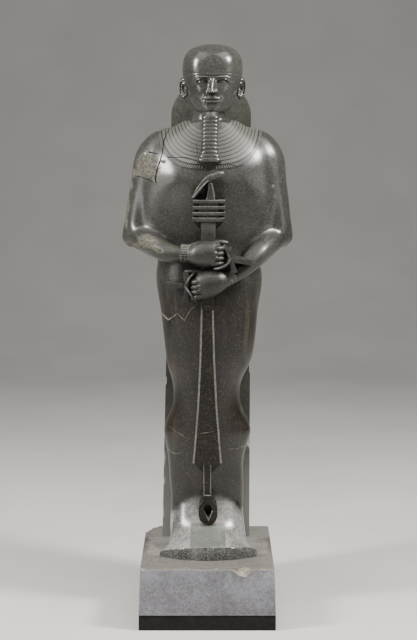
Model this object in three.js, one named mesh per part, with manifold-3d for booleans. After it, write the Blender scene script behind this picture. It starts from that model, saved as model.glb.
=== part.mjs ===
// Standing god statue in dark stone: a wrapped figure with a broad collar, a skull cap and a
// straight beard, holding a composite sceptre, against a round-topped back pillar on its base.
// Millimetres, +Z up. The figure faces -Y. The origin is the middle of the underside.

import * as THREE from "three";
import { mergeVertices } from "three/addons/utils/BufferGeometryUtils.js";
import Module from "manifold-3d";

const wasm = await Module();
wasm.setup();

// Driving dimensions
const baseTopWidth = 464;
const baseFootWidth = 476;
const baseDepth = 560;
const baseHeight = 168;
const footingHeight = 54;
const footingCorner = 18;
const footingSetback = 2;
const pillarThickness = 150;
const pillarFootWidth = 324;
const pillarTopWidth = 287;
const figureHeight = 1796;
const collarRelief = 3;
const sceptreThickness = 50;

// The figure's stations are drawn for a figure this high, and they grow with figureHeight.
const drawnHeight = 1796;
const grow = figureHeight / drawnHeight;

// The slab under the base keeps to its outline, a little back from it at the front and the back.
const footingWidth = baseFootWidth;
const footingDepth = baseDepth - 2 * footingSetback;

const baseTop = footingHeight + baseHeight;
const baseFront = -baseDepth / 2;
const pillarBack = baseDepth / 2;
const pillarFront = pillarBack - pillarThickness;

const colours = { statue: 0x3a3b38, footing: 0x2b2424 };

// Small helpers
const v = (x, y, z) => new THREE.Vector3(x, y, z);
const signedPower = (value, power) => Math.sign(value) * Math.abs(value) ** power;
const bump = (value, middle, width) => Math.exp(-(((value - middle) / width) ** 2));
const smooth = (low, high, value) => {
  const t = Math.min(1, Math.max(0, (value - low) / (high - low)));
  return t * t * (3 - 2 * t);
};

// The carving leans a little to one side above the elbows. Heights are above the base top.
const leanAt = (height) => 15 * smooth(1000, 1800, height / grow);

function solidFrom(points, faces) {
  let volume = 0;
  for (const [a, b, c] of faces) {
    volume += points[a].dot(points[b].clone().cross(points[c]));
  }
  const ordered = volume < 0 ? faces.map(([a, b, c]) => [a, c, b]) : faces;
  return new wasm.Manifold(new wasm.Mesh({
    numProp: 3,
    vertProperties: new Float32Array(points.flatMap((p) => [p.x, p.y, p.z])),
    triVerts: new Uint32Array(ordered.flat()),
  }));
}

// A closed skin through rings that all have the same number of points.
function loft(rings) {
  const sides = rings[0].length;
  const points = rings.flat();
  const faces = [];
  for (let row = 0; row + 1 < rings.length; row += 1) {
    for (let side = 0; side < sides; side += 1) {
      const a = row * sides + side;
      const b = row * sides + ((side + 1) % sides);
      faces.push([a, b, b + sides], [a, b + sides, a + sides]);
    }
  }
  for (const [row, turn] of [[0, 1], [rings.length - 1, 0]]) {
    const middle = rings[row].reduce((sum, p) => sum.add(p), v(0, 0, 0)).divideScalar(sides);
    const hub = points.push(middle) - 1;
    for (let side = 0; side < sides; side += 1) {
      const a = row * sides + side;
      const b = row * sides + ((side + 1) % sides);
      faces.push(turn ? [hub, b, a] : [hub, a, b]);
    }
  }
  return solidFrom(points, faces);
}

function solidOf(geometry) {
  const bare = geometry.clone();
  bare.deleteAttribute("normal");
  bare.deleteAttribute("uv");
  const merged = mergeVertices(bare, 1e-4);
  return new wasm.Manifold(new wasm.Mesh({
    numProp: 3,
    vertProperties: new Float32Array(merged.attributes.position.array),
    triVerts: new Uint32Array(merged.index.array),
  }));
}

// Where pieces meet they can enclose a small pocket. The real stone is solid, so only the outer
// skin is kept.
function withoutPockets(solid) {
  return solid.decompose().reduce((best, shell) => (shell.volume() > best.volume() ? shell : best));
}

function geometryOf(solid) {
  const mesh = solid.getMesh();
  const geometry = new THREE.BufferGeometry();
  geometry.setAttribute("position", new THREE.BufferAttribute(mesh.vertProperties, 3));
  geometry.setIndex(new THREE.BufferAttribute(mesh.triVerts, 1));
  geometry.computeVertexNormals();
  return geometry;
}

// A level ring: half is its half width, and front and back are its reach in Y from middleY.
function levelRing({ height, centre = 0, half, front, back, middleY = 40, power = 2.4, sides }) {
  return Array.from({ length: sides }, (_, side) => {
    const angle = (side / sides) * 2 * Math.PI;
    const across = signedPower(Math.cos(angle), 2 / power);
    const deep = signedPower(Math.sin(angle), 2 / power);
    const reach = deep < 0 ? middleY - front : back - middleY;
    return v(
      (centre + half * across) * grow + leanAt(height * grow),
      (middleY + deep * reach) * grow,
      baseTop + height * grow,
    );
  });
}

// A limb: each station has a place, a radius across the limb and a radius in depth.
function limb(stations, sides = 14, finer = 2) {
  const places = stations.map((station) => v(...station.at));
  const curve = new THREE.CatmullRomCurve3(places, false, "centripetal");
  const steps = (stations.length - 1) * finer;
  const rings = [];
  for (let step = 0; step <= steps; step += 1) {
    const t = step / steps;
    const along = t * (stations.length - 1);
    const low = Math.min(stations.length - 2, Math.floor(along));
    const share = along - low;
    const mix = (key) => stations[low][key] * (1 - share) + stations[low + 1][key] * share;
    const middle = curve.getPoint(t);
    const tangent = curve.getTangent(t);
    const acrossWay = v(0, -1, 0).cross(tangent).normalize();
    const deepWay = tangent.clone().cross(acrossWay).normalize();
    rings.push(Array.from({ length: sides }, (_, side) => {
      const angle = (side / sides) * 2 * Math.PI;
      const point = middle.clone()
        .addScaledVector(acrossWay, Math.cos(angle) * mix("across"))
        .addScaledVector(deepWay, Math.sin(angle) * mix("deep"));
      return placed(point);
    }));
  }
  return loft(rings);
}

// Drawn figure coordinates to the part's frame: z is above the base top.
function placed(point) {
  return v(point.x * grow + leanAt(point.z * grow), point.y * grow, baseTop + point.z * grow);
}

// A plate that follows a front-view outline of [x, z] corners, from one Y to another.
function frontPlate(outline, frontY, backY) {
  return loft([frontY, backY].map((y) => outline.map(([x, z]) => placed(v(x, y, z)))));
}

// A straight tapering bar of rectangular section. Each station is [z, half width, front Y].
function taperedBar(stations, backY, centre) {
  return loft(stations.map(([z, half, front]) => [
    placed(v(centre - half, front, z)),
    placed(v(centre + half, front, z)),
    placed(v(centre + half, backY, z)),
    placed(v(centre - half, backY, z)),
  ]));
}

const footingCornerSteps = 4;

function makeFooting() {
  const shape = new THREE.Shape();
  const x = footingWidth / 2;
  const y = footingDepth / 2;
  const r = footingCorner;
  shape.moveTo(-x + r, -y);
  shape.lineTo(x - r, -y);
  shape.absarc(x - r, -y + r, r, -Math.PI / 2, 0);
  shape.lineTo(x, y - r);
  shape.absarc(x - r, y - r, r, 0, Math.PI / 2);
  shape.lineTo(-x + r, y);
  shape.absarc(-x + r, y - r, r, Math.PI / 2, Math.PI);
  shape.lineTo(-x, -y + r);
  shape.absarc(-x + r, -y + r, r, Math.PI, 1.5 * Math.PI);
  const geometry = new THREE.ExtrudeGeometry(shape, {
    depth: footingHeight,
    bevelEnabled: false,
    curveSegments: footingCornerSteps,
  });
  return solidOf(geometry);
}

// The stone base under the feet, with its lost front chip and its broken back corner
const chip = { x: 119, halfWide: 33, halfDeep: 20, halfHigh: 25 };
const brokenCorner = { sideY: 165, backX: -187 };

function makeBase() {
  const ring = (half, z) => [
    v(-half, baseFront, z),
    v(half, baseFront, z),
    v(half, pillarBack, z),
    v(-half, pillarBack, z),
  ];
  const block = loft([ring(baseFootWidth / 2, footingHeight), ring(baseTopWidth / 2, baseTop)]);

  const lost = new THREE.IcosahedronGeometry(1, 1);
  lost.scale(chip.halfWide, chip.halfDeep, chip.halfHigh);
  lost.translate(chip.x, baseFront, baseTop);

  const out = baseFootWidth;
  const corner = loft([baseTop - baseHeight * 0.7, baseTop + 5].map((z, row) => [
    v(-baseTopWidth / 2 - (row ? 0 : 10), brokenCorner.sideY + (row ? 0 : 70), z),
    v(brokenCorner.backX - (row ? 0 : 50), pillarBack + 5, z),
    v(-out, pillarBack + 5, z),
    v(-out, brokenCorner.sideY + (row ? 0 : 70), z),
  ]));
  return block.subtract(solidOf(lost)).subtract(corner);
}

// The back pillar narrows upwards, leans with the figure and ends in a half oval
const pillarLean = { foot: -6, top: 14 };
const pillarSpring = 1548;
const pillarRise = 129;

function makePillar() {
  const topZ = baseTop + pillarSpring * grow;
  const rise = pillarRise * grow;
  const outline = [];
  outline.push([pillarLean.foot - pillarFootWidth / 2, baseTop - 20]);
  outline.push([pillarLean.foot + pillarFootWidth / 2, baseTop - 20]);
  const arcSteps = 18;
  for (let step = 0; step <= arcSteps; step += 1) {
    const angle = (step / arcSteps) * Math.PI;
    const x = pillarLean.top + (Math.cos(angle) * pillarTopWidth) / 2;
    outline.push([x, topZ + Math.sin(angle) * rise]);
  }
  return loft([pillarFront, pillarBack].map((y) => outline.map(([x, z]) => v(x, y, z))));
}

// The wrapped legs and the trunk, from the ankles to the root of the neck
const trunkStations = [
  { height: -20, centre: 0, half: 134, front: -36 },
  { height: 110, centre: -2, half: 132, front: -34 },
  { height: 172, centre: 0, half: 131, front: -34 },
  { height: 239, centre: -3, half: 134, front: -46 },
  { height: 331, centre: -5, half: 138, front: -58 },
  { height: 385, centre: -2, half: 150, front: -66 },
  { height: 425, centre: 0, half: 156, front: -71 },
  { height: 455, centre: -1, half: 149, front: -73 },
  { height: 490, centre: -2, half: 133, front: -77 },
  { height: 560, centre: -3, half: 120, front: -84 },
  { height: 620, centre: -1, half: 129, front: -88 },
  { height: 660, centre: 3, half: 145, front: -92 },
  { height: 690, centre: 6, half: 153, front: -96 },
  { height: 735, centre: 8, half: 160, front: -101 },
  { height: 811, centre: 8, half: 168, front: -110 },
  { height: 883, centre: 7, half: 176, front: -117 },
  { height: 1018, centre: 5, half: 184, front: -119 },
  { height: 1056, centre: 2, half: 190, front: -116 },
  { height: 1082, centre: 0, half: 232, front: -110 },
  { height: 1112, centre: 0, half: 260, front: -108 },
  { height: 1150, centre: 0, half: 266, front: -113 },
  { height: 1240, centre: 0, half: 262, front: -128 },
  { height: 1330, centre: 0, half: 253, front: -136 },
  { height: 1400, centre: 0, half: 242, front: -122 },
  { height: 1450, centre: 0, half: 220, front: -98 },
  { height: 1482, centre: 0, half: 176, front: -80 },
  { height: 1506, centre: 0, half: 132, front: -66 },
  { height: 1530, centre: 0, half: 92, front: -56 },
];
const trunkBack = 190;
const trunkSides = 20;

function makeTrunk(swell) {
  return loft(trunkStations.map((station) => levelRing({
    ...station,
    half: station.half + swell,
    front: station.front - swell,
    back: trunkBack,
    power: 2.5,
    sides: trunkSides,
  })));
}

// Upper arms: side is -1 for the viewer's left and 1 for the right
function makeUpperArm(side, swell) {
  const stations = [
    { at: [96, 30, 1452], across: 50, deep: 60 },
    { at: [168, 24, 1446], across: 56, deep: 70 },
    { at: [208, 18, 1400], across: 56, deep: 74 },
    { at: [219, 14, 1330], across: 55, deep: 74 },
    { at: [233, 8, 1240], across: 54, deep: 68 },
    { at: [246, 2, 1160], across: 52, deep: 62 },
    { at: [253, 0, 1118], across: 48.5, deep: 56 },
    { at: [249, 0, 1094], across: 26, deep: 34 },
  ];
  return limb(stations.map(({ at, across, deep }) => ({
    at: [at[0] * side, at[1], at[2]],
    across: across + swell,
    deep: deep + swell,
  })), 14);
}

// Forearms run forward across the waist: the viewer's left one above the other
const wristY = -166;
const upperWrist = [-92, wristY, 1077];
const lowerWrist = [94, wristY, 1002];

function makeForearm(elbow, wrist, bend) {
  const middle = elbow.map((value, axis) => (value * 0.45 + wrist[axis] * 0.55) + bend[axis]);
  return limb([
    { at: elbow, across: 40, deep: 46 },
    { at: middle, across: 40, deep: 46 },
    { at: wrist, across: 29, deep: 31 },
  ], 14);
}

function makeBracelet(wrist, reach) {
  const far = wrist.map((value, axis) => value + reach[axis]);
  return limb([
    { at: wrist, across: 31, deep: 34 },
    { at: far, across: 31, deep: 34 },
  ], 14, 1);
}

// A closed fist round the upright shaft. way is 1 when the fingers end on the right.
const fingerRadius = 10.5;

function makeFist(wrist, knuckle, way) {
  const along = v(...knuckle).sub(v(...wrist));
  const at = (share, y) => [wrist[0] + along.x * share, y, wrist[2] + along.z * share];
  const palm = limb([
    { at: at(0.1, -170), across: 25, deep: 28 },
    { at: at(0.35, -182), across: 31, deep: 33 },
    { at: at(0.6, -190), across: 42, deep: 38 },
    { at: at(0.9, -190), across: 44, deep: 36 },
    { at: at(1.08, -184), across: 34, deep: 26 },
  ], 12, 1);
  let fist = palm;
  for (let finger = 0; finger < 4; finger += 1) {
    const drop = (1.5 - finger) * fingerRadius * 1.75;
    const lift = (x) => knuckle[2] + drop + along.z * 0.25 * (x / 60);
    const reach = (x, y) => [knuckle[0] + x * way, y, lift(x)];
    fist = fist.add(limb([
      { at: reach(-26, -204), across: fingerRadius, deep: fingerRadius * 1.1 },
      { at: reach(12, -206), across: fingerRadius, deep: fingerRadius * 1.1 },
      { at: reach(34, -186), across: fingerRadius, deep: fingerRadius },
      { at: reach(34, -158), across: fingerRadius * 0.9, deep: fingerRadius },
      { at: reach(10, -140), across: fingerRadius * 0.8, deep: fingerRadius },
    ], 7, 1));
  }
  const thumb = limb([
    { at: [knuckle[0] - 34 * way, -190, knuckle[2] + 34], across: 13, deep: 16 },
    { at: [knuckle[0] + 8 * way, -184, knuckle[2] + 47], across: 12, deep: 15 },
    { at: [knuckle[0] + 44 * way, -176, knuckle[2] + 42], across: 9, deep: 12 },
  ], 7, 1);
  return fist.add(thumb);
}

// The life sign in each hand: a flared stem, a flared cross-bar and part of its loop
function makeLifeSign({ cross, stemEnd, barTop, barFoot, frontY, backY }) {
  const flared = (from, to, startHalf, endHalf) => {
    const way = new THREE.Vector2(to[0] - from[0], to[1] - from[1]).normalize();
    const side = [-way.y, way.x];
    const corner = (point, half) => [point[0] + side[0] * half, point[1] + side[1] * half];
    const outline = [
      corner(from, -startHalf),
      corner(to, -endHalf),
      corner(to, endHalf),
      corner(from, startHalf),
    ];
    return frontPlate(outline, frontY, backY);
  };
  return flared(cross, stemEnd, 7, 11)
    .add(flared(cross, barTop, 7, 11))
    .add(flared(cross, barFoot, 7, 11));
}

// The neck, and a head with a close cap whose face is a plain carved one
const headStations = [
  { height: 0, half: 40, front: -93, back: 20, power: 2.2 },
  { height: 10, half: 54, front: -99, back: 52, power: 2.3 },
  { height: 34, half: 72, front: -102, back: 86, power: 2.3 },
  { height: 60, half: 84, front: -103, back: 100, power: 2.3 },
  { height: 85, half: 93, front: -104, back: 110, power: 2.3 },
  { height: 110, half: 101, front: -105, back: 120, power: 2.3 },
  { height: 140, half: 104, front: -106, back: 128, power: 2.3 },
  { height: 170, half: 103, front: -105, back: 130, power: 2.3 },
  { height: 195, half: 98, front: -98, back: 124, power: 2.3 },
  { height: 215, half: 86, front: -84, back: 110, power: 2.3 },
  { height: 230, half: 67, front: -62, back: 88, power: 2.3 },
  { height: 238, half: 46, front: -40, back: 64, power: 2.2 },
  { height: 242, half: 20, front: -8, back: 34, power: 2.0 },
];
const chinHeight = 1554;
const headHeight = 242;
const headMiddleY = 12;
const headShift = 4;
const face = { eyes: 0.45, brows: 0.51, noseFoot: 0.285, mouth: 0.19, capEdge: 0.545 };

function stationAt(stations, height) {
  const last = stations.length - 1;
  const above = stations.findIndex((station) => station.height >= height);
  const high = above < 1 ? (above === 0 ? 1 : last) : above;
  const low = high - 1;
  const span = stations[high].height - stations[low].height;
  const share = Math.min(1, Math.max(0, (height - stations[low].height) / span));
  const mixed = {};
  for (const key of ["half", "front", "back", "power"]) {
    mixed[key] = stations[low][key] * (1 - share) + stations[high][key] * share;
  }
  return mixed;
}

// How far the face stands out of the plain head at x across and z above the chin.
function faceRelief(x, z) {
  const at = (share) => share * headHeight;
  const side = Math.abs(x);
  const noseLength = smooth(at(face.noseFoot) - 5, at(face.noseFoot) + 5, z)
    * (1 - smooth(at(face.eyes) - 6, at(face.brows) + 10, z));
  const noseHigh = 10 + 16 * (1 - smooth(at(face.noseFoot), at(face.eyes), z));
  const noseWide = 9 + 7 * (1 - smooth(at(face.noseFoot), at(face.noseFoot) + 22, z));
  const nose = noseHigh * noseLength * bump(side, 0, noseWide);
  const socket = -9 * bump(side, 36, 20) * bump(z, at(face.eyes) + 2, 14);
  const ball = 6 * bump(side, 35, 13) * bump(z, at(face.eyes) - 1, 8);
  const brow = 3 * bump(side, 36, 26) * bump(z, at(face.brows), 5);
  const cheek = 3 * bump(side, 46, 22) * bump(z, at(face.noseFoot) + 6, 24);
  const lips = 7 * bump(side, 0, 27) * (bump(z, at(face.mouth) + 6, 5) + bump(z, at(face.mouth) - 7, 6));
  const chin = 6 * bump(side, 0, 24) * bump(z, at(0.07), 12);
  const cap = 2.5 * smooth(at(face.capEdge) - 2, at(face.capEdge) + 3, z);
  return nose + socket + ball + brow + cheek + lips + chin + cap;
}

function makeHead() {
  const rows = 22;
  const columns = 26;
  const rings = [];
  for (let row = 0; row <= rows; row += 1) {
    const height = headHeight * (1 - (1 - row / rows) ** 1.15);
    const station = stationAt(headStations, height);
    rings.push(Array.from({ length: columns }, (_, column) => {
      const share = (column / columns) * 2 - 1;
      const turn = Math.PI * (0.5 * share + 0.5 * share ** 3);
      const across = signedPower(Math.sin(turn), 2 / station.power);
      const deep = signedPower(-Math.cos(turn), 2 / station.power);
      const reach = deep < 0 ? headMiddleY - station.front : station.back - headMiddleY;
      const x = station.half * across;
      const frontShare = Math.max(0, -deep) ** 1.5;
      const y = headMiddleY + deep * reach - faceRelief(x, height) * frontShare;
      return placed(v(x + headShift, y, chinHeight + height));
    }));
  }
  return loft(rings);
}

function makeNeck() {
  const stations = [
    { height: 1500, half: 84, front: -62, back: 150 },
    { height: 1530, half: 68, front: -54, back: 140 },
    { height: 1580, half: 63, front: -52, back: 130 },
    { height: 1640, half: 66, front: -50, back: 120 },
  ];
  return loft(stations.map((station) => levelRing({ ...station, middleY: 20, power: 2.1, sides: 20 })));
}

function makeEar(side) {
  const place = { y: 22, z: chinHeight + 93 };
  const out = (reach) => headShift + side * reach;
  const outer = limb([
    { at: [out(90), place.y - 6, place.z - 37], across: 9, deep: 9 },
    { at: [out(97), place.y - 2, place.z - 20], across: 11, deep: 14 },
    { at: [out(104), place.y + 6, place.z + 6], across: 12, deep: 20 },
    { at: [out(106), place.y + 8, place.z + 22], across: 11, deep: 19 },
    { at: [out(101), place.y + 6, place.z + 34], across: 7, deep: 10 },
  ], 10, 1);
  const hollow = new THREE.IcosahedronGeometry(1, 1);
  hollow.scale(7, 9, 17);
  const middle = placed(v(out(107), place.y - 12, place.z + 10));
  hollow.translate(middle.x, middle.y, middle.z);
  return outer.subtract(solidOf(hollow));
}

// The straight beard, with level ridges, that widens to its flat foot
const beardTop = 1548;
const beardFoot = 1394;
const beardRidges = 12;

function makeBeard() {
  const rings = [];
  const rows = beardRidges * 2;
  for (let row = 0; row <= rows; row += 1) {
    const share = row / rows;
    const flare = smooth(0.72, 1, share);
    const groove = row % 2 === 0 && row > 0 && row < rows ? 3 : 0;
    const half = 30 - 1.5 * share + 12 * flare - groove;
    const front = -118 - 34 * share - 6 * flare + groove * 1.3;
    const height = beardTop + (beardFoot - beardTop) * share;
    rings.push(levelRing({
      height,
      half,
      front,
      back: -40 - 56 * share,
      middleY: -80 - 40 * share,
      power: 3,
      sides: 12,
    }));
  }
  const throat = loft([
    levelRing({ height: chinHeight + 8, half: 30, front: -104, back: -20, middleY: -60, sides: 12 }),
    levelRing({ height: beardTop - 8, half: 30, front: -117, back: -20, middleY: -60, sides: 12 }),
  ]);
  return loft(rings).add(throat);
}

// The broad collar: bands between an inner and an outer oval, parted by cut lines
const collarMiddle = 1547;
const collarInner = { half: 80, drop: 64, power: 2 };
const collarOuter = { half: 185, drop: 182, power: 3 };
const collarBands = 4;
const collarLine = 4;

function collarOval(share, spread) {
  const mix = (key) => collarInner[key] * (1 - share) + collarOuter[key] * share;
  const steps = 12;
  const outline = [];
  for (let step = 0; step <= steps; step += 1) {
    const angle = Math.PI + (step / steps) * Math.PI;
    outline.push([
      (mix("half") + spread) * signedPower(Math.cos(angle), 2 / mix("power")),
      collarMiddle + (mix("drop") + spread) * signedPower(Math.sin(angle), 2 / mix("power")),
    ]);
  }
  outline.push([mix("half") + spread, collarMiddle + 60]);
  outline.push([-mix("half") - spread, collarMiddle + 60]);
  return outline;
}

function makeCollar() {
  const through = (outline) => frontPlate(outline, -260, 120);
  let stencil = through(collarOval(1, 0)).subtract(through(collarOval(0, 0)));
  for (let band = 1; band < collarBands; band += 1) {
    const share = band / collarBands;
    const outside = through(collarOval(share, collarLine / 2));
    const line = outside.subtract(through(collarOval(share, -collarLine / 2)));
    stencil = stencil.subtract(line);
  }
  const skin = makeTrunk(collarRelief)
    .add(makeUpperArm(-1, collarRelief))
    .add(makeUpperArm(1, collarRelief));
  return skin.intersect(stencil);
}

// The sceptre: an animal-headed staff on a column sign, a shaft, a flared lower part and a fork
const sceptreCentre = 2;
const columnSign = { foot: 1190, top: 1264, halfWide: 56, halfCore: 30, front: -186 };
const columnBars = 4;

function makeColumnSign() {
  const { foot, top, halfWide, halfCore, front } = columnSign;
  const pitch = (top - foot) / (columnBars - 0.45);
  const back = front + sceptreThickness + 30;
  let sign = taperedBar([
    [foot - 26, halfCore - 4, front + 10],
    [top, halfCore, front + 5],
  ], back, sceptreCentre);
  for (let bar = 0; bar < columnBars; bar += 1) {
    const low = foot + bar * pitch;
    sign = sign.add(taperedBar([
      [low, halfWide, front],
      [low + pitch * 0.55, halfWide, front],
    ], back, sceptreCentre));
  }
  const underside = taperedBar([
    [foot - 30, halfCore - 4, front + 34],
    [foot + 1, halfWide - 2, front + 4],
  ], back, sceptreCentre);
  const behind = taperedBar([
    [foot, halfWide - 6, front + 22],
    [top, halfWide - 6, front + 22],
  ], back, sceptreCentre);
  return sign.add(underside).add(behind);
}

function makeStaffHead() {
  const head = [
    [-60, 1270],
    [-50, 1268],
    [-26, 1290],
    [-12, 1303],
    [4, 1306],
    [16, 1312],
    [40, 1352],
    [28, 1363],
    [8, 1354],
    [-18, 1340],
    [-38, 1312],
  ];
  const neck = [
    [-11, 1255],
    [20, 1255],
    [15, 1290],
    [4, 1322],
    [-6, 1320],
    [-8, 1290],
  ];
  return frontPlate(head, -186, -100).add(frontPlate(neck, -178, -100));
}

const lowerShaft = [
  { height: 910, half: 20, stand: 30 },
  { height: 692, half: 26, stand: 33 },
  { height: 533, half: 34, stand: 36 },
  { height: 329, half: 51, stand: 42 },
];
const fork = { foot: 106, top: 214, half: 34, narrowing: 0.55, middleX: 2 };
const forkHole = [[4, 131], [16, 158], [13, 174], [3, 181], [-8, 174], [-11, 158]];

function trunkFrontAt(height) {
  return stationAt(trunkStations.map((station) => ({ back: 0, power: 2, ...station })), height).front;
}

function makeLowerSceptre() {
  const rod = taperedBar([
    [880, 21, -150],
    [1010, 23, -165],
    [1190, 25, -182],
  ], -90, sceptreCentre);
  const shaft = taperedBar(lowerShaft.map(({ height, half, stand }) => (
    [height, half, trunkFrontAt(height) - stand])), -30, 0);
  const foot = lowerShaft[lowerShaft.length - 1];
  const taper = taperedBar([
    [foot.height + 1, foot.half - 2, trunkFrontAt(foot.height) - foot.stand + 2],
    [foot.height - 44, 13, trunkFrontAt(foot.height) - 6],
  ], -20, 0);
  const stem = taperedBar([
    [foot.height, 14.5, -90],
    [196, 13.5, -84],
  ], -20, 0);
  const outline = [];
  const outlineSteps = 16;
  const middle = (fork.foot + fork.top) / 2;
  const halfHigh = (fork.top - fork.foot) / 2;
  for (let step = 0; step < outlineSteps; step += 1) {
    const angle = (step / outlineSteps) * 2 * Math.PI;
    const narrow = 1 - fork.narrowing * Math.max(0, Math.sin(angle));
    outline.push([fork.middleX + fork.half * narrow * Math.cos(angle), middle + halfHigh * Math.sin(angle)]);
  }
  const ring = frontPlate(outline, -92, -20).subtract(frontPlate(forkHole, -120, -62));
  return rod.add(shaft).add(taper).add(stem).add(ring);
}

// The wrapped feet: a bell that ends in an upright curved face. Stations run back from the toes.
const footStations = [
  { y: -193, half: 171, top: 48, power: 9 },
  { y: -188, half: 170, top: 51, power: 7 },
  { y: -160, half: 158, top: 60, power: 4.5 },
  { y: -120, half: 147, top: 80, power: 3.6 },
  { y: -80, half: 141, top: 112, power: 3.2 },
  { y: -40, half: 137, top: 168, power: 2.9 },
  { y: 0, half: 134, top: 230, power: 2.8 },
  { y: 150, half: 132, top: 240, power: 2.8 },
];
const toeBow = 65;
const toeDroop = 0.42;
const feetMiddleX = 3;
const feetSunk = -15;

// Sections run across the feet, so that the toe face stands upright along its curve.
function makeFeet() {
  const steps = 16;
  const toeLine = footStations[0].y;
  const sections = Array.from({ length: steps + 1 }, (_, step) => {
    const angle = (step / steps) * Math.PI;
    const spot = ({ y, half, top, power }) => {
      const across = signedPower(Math.cos(angle), 2 / power);
      const bend = across ** 2 * (1 - smooth(toeLine, 0, y));
      const up = signedPower(Math.sin(angle), 2 / power) * (1 - toeDroop * bend);
      return v(half * across + feetMiddleX, y + toeBow * bend, top * up);
    };
    const upper = footStations.map(spot);
    const lower = [upper[upper.length - 1], upper[0]].map((point) => v(point.x, point.y, feetSunk));
    return [...lower, ...upper].map(placed);
  });
  return loft(sections);
}

function makeStatue() {
  const elbows = { left: [-250, -4, 1130], right: [250, -4, 1130] };
  const upperLifeSign = makeLifeSign({
    cross: [76, 1064],
    stemEnd: [154, 1052],
    barTop: [62, 1104],
    barFoot: [94, 1006],
    frontY: -214,
    backY: -120,
  });
  const lowerLifeSign = makeLifeSign({
    cross: [-76, 971],
    stemEnd: [-138, 972],
    barTop: [-80, 1020],
    barFoot: [-78, 918],
    frontY: -206,
    backY: -100,
  });
  const pieces = [
    makeBase(),
    makePillar(),
    makeFeet(),
    makeTrunk(0),
    makeUpperArm(-1, 0),
    makeUpperArm(1, 0),
    makeForearm(elbows.left, upperWrist, [-8, -22, -4]),
    makeForearm(elbows.right, lowerWrist, [8, -22, 12]),
    makeBracelet(upperWrist, [37, -4, 2]),
    makeBracelet(lowerWrist, [-36, -6, -17]),
    makeFist(upperWrist, [24, 0, 1080], 1),
    makeFist(lowerWrist, [-22, 0, 968], -1),
    upperLifeSign,
    lowerLifeSign,
    makeNeck(),
    makeHead(),
    makeEar(-1),
    makeEar(1),
    makeBeard(),
    makeCollar(),
    makeColumnSign(),
    makeStaffHead(),
    makeLowerSceptre(),
  ];
  return withoutPockets(pieces.reduce((whole, piece) => whole.add(piece)));
}

function makeMesh(name, solid, colour, roughness) {
  const material = new THREE.MeshStandardMaterial({ color: colour, roughness, metalness: 0 });
  const mesh = new THREE.Mesh(geometryOf(solid), material);
  mesh.name = name;
  return mesh;
}

const ptahStatue = new THREE.Group();
ptahStatue.add(makeMesh("statue", makeStatue(), colours.statue, 0.35));
ptahStatue.add(makeMesh("footing_slab", makeFooting(), colours.footing, 0.6));

export default ptahStatue;
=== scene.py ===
import bmesh
import bpy
import math
import numpy as np
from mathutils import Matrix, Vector, noise
from mathutils.bvhtree import BVHTree


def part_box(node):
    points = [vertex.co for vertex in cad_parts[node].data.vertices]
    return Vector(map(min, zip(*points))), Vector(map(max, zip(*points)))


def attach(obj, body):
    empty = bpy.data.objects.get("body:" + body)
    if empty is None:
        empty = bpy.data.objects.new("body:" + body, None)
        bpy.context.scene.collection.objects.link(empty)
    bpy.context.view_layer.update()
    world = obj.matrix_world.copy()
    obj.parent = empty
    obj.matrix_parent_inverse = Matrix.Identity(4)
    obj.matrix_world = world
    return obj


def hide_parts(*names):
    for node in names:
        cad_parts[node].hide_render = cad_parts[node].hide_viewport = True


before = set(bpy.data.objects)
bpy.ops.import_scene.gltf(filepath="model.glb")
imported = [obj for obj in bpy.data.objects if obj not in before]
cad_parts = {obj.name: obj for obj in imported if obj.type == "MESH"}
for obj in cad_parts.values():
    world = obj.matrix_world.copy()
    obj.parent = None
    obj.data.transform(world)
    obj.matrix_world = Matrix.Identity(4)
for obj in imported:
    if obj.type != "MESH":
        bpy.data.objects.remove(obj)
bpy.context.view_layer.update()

# Drawn sizes are millimetres above the top of the base, and x is drawn before the figure's lean
mm = 0.001
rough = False
slabLow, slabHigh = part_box("footing_slab")
base = {
    "height": 168,
    "topWidth": 464,
    "footWidth": 476,
    "depth": 560,
    "edge": 2.2,
    "chipX": 119,
    "chipHalf": (33, 20, 25),
    "brokenSideY": 165,
    "brokenBackX": -187,
    "brokenSteps": 14,
    "brokenLevels": ((-118, 55), (-70, 22), (-25, 6), (6, 0)),  # from the base top, and further out
    "nicks": ((-150, 9, 5), (-60, 7, 4), (30, 8, 5), (196, 10, 6), (-224, 8, 7)),  # x, wide, high
}
baseTop = slabHigh.z / mm + base["height"]
# The stone's finishes, in the order of its material slots; one of them is a pale painted highlight, and one
# a near-black painted shade
finishes = [
    "stone", "paintedHighlight", "darkCrack", "paleCrack", "freshBreak", "incised", "deepShade", "sceptreStone",
]
for finish in finishes:
    bpy.data.materials.new(finish)
lean = {"shift": 15, "from": 1000, "to": 1800}


def smooth(low, high, value):
    t = np.clip((np.asarray(value, float) - low) / (high - low), 0, 1)
    return t * t * (3 - 2 * t)


def bump(value, middle, width):
    return np.exp(-(((np.asarray(value, float) - middle) / width) ** 2))


def signedPower(value, power):
    return np.sign(value) * np.abs(value) ** power


def leanAt(height):
    return lean["shift"] * smooth(lean["from"], lean["to"], height)


def placed(points):  # drawn millimetres to the frame's metres
    points = np.asarray(points, float)
    out = points.copy()
    out[..., 0] += leanAt(points[..., 2])
    out[..., 2] += baseTop
    return out * mm


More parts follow.
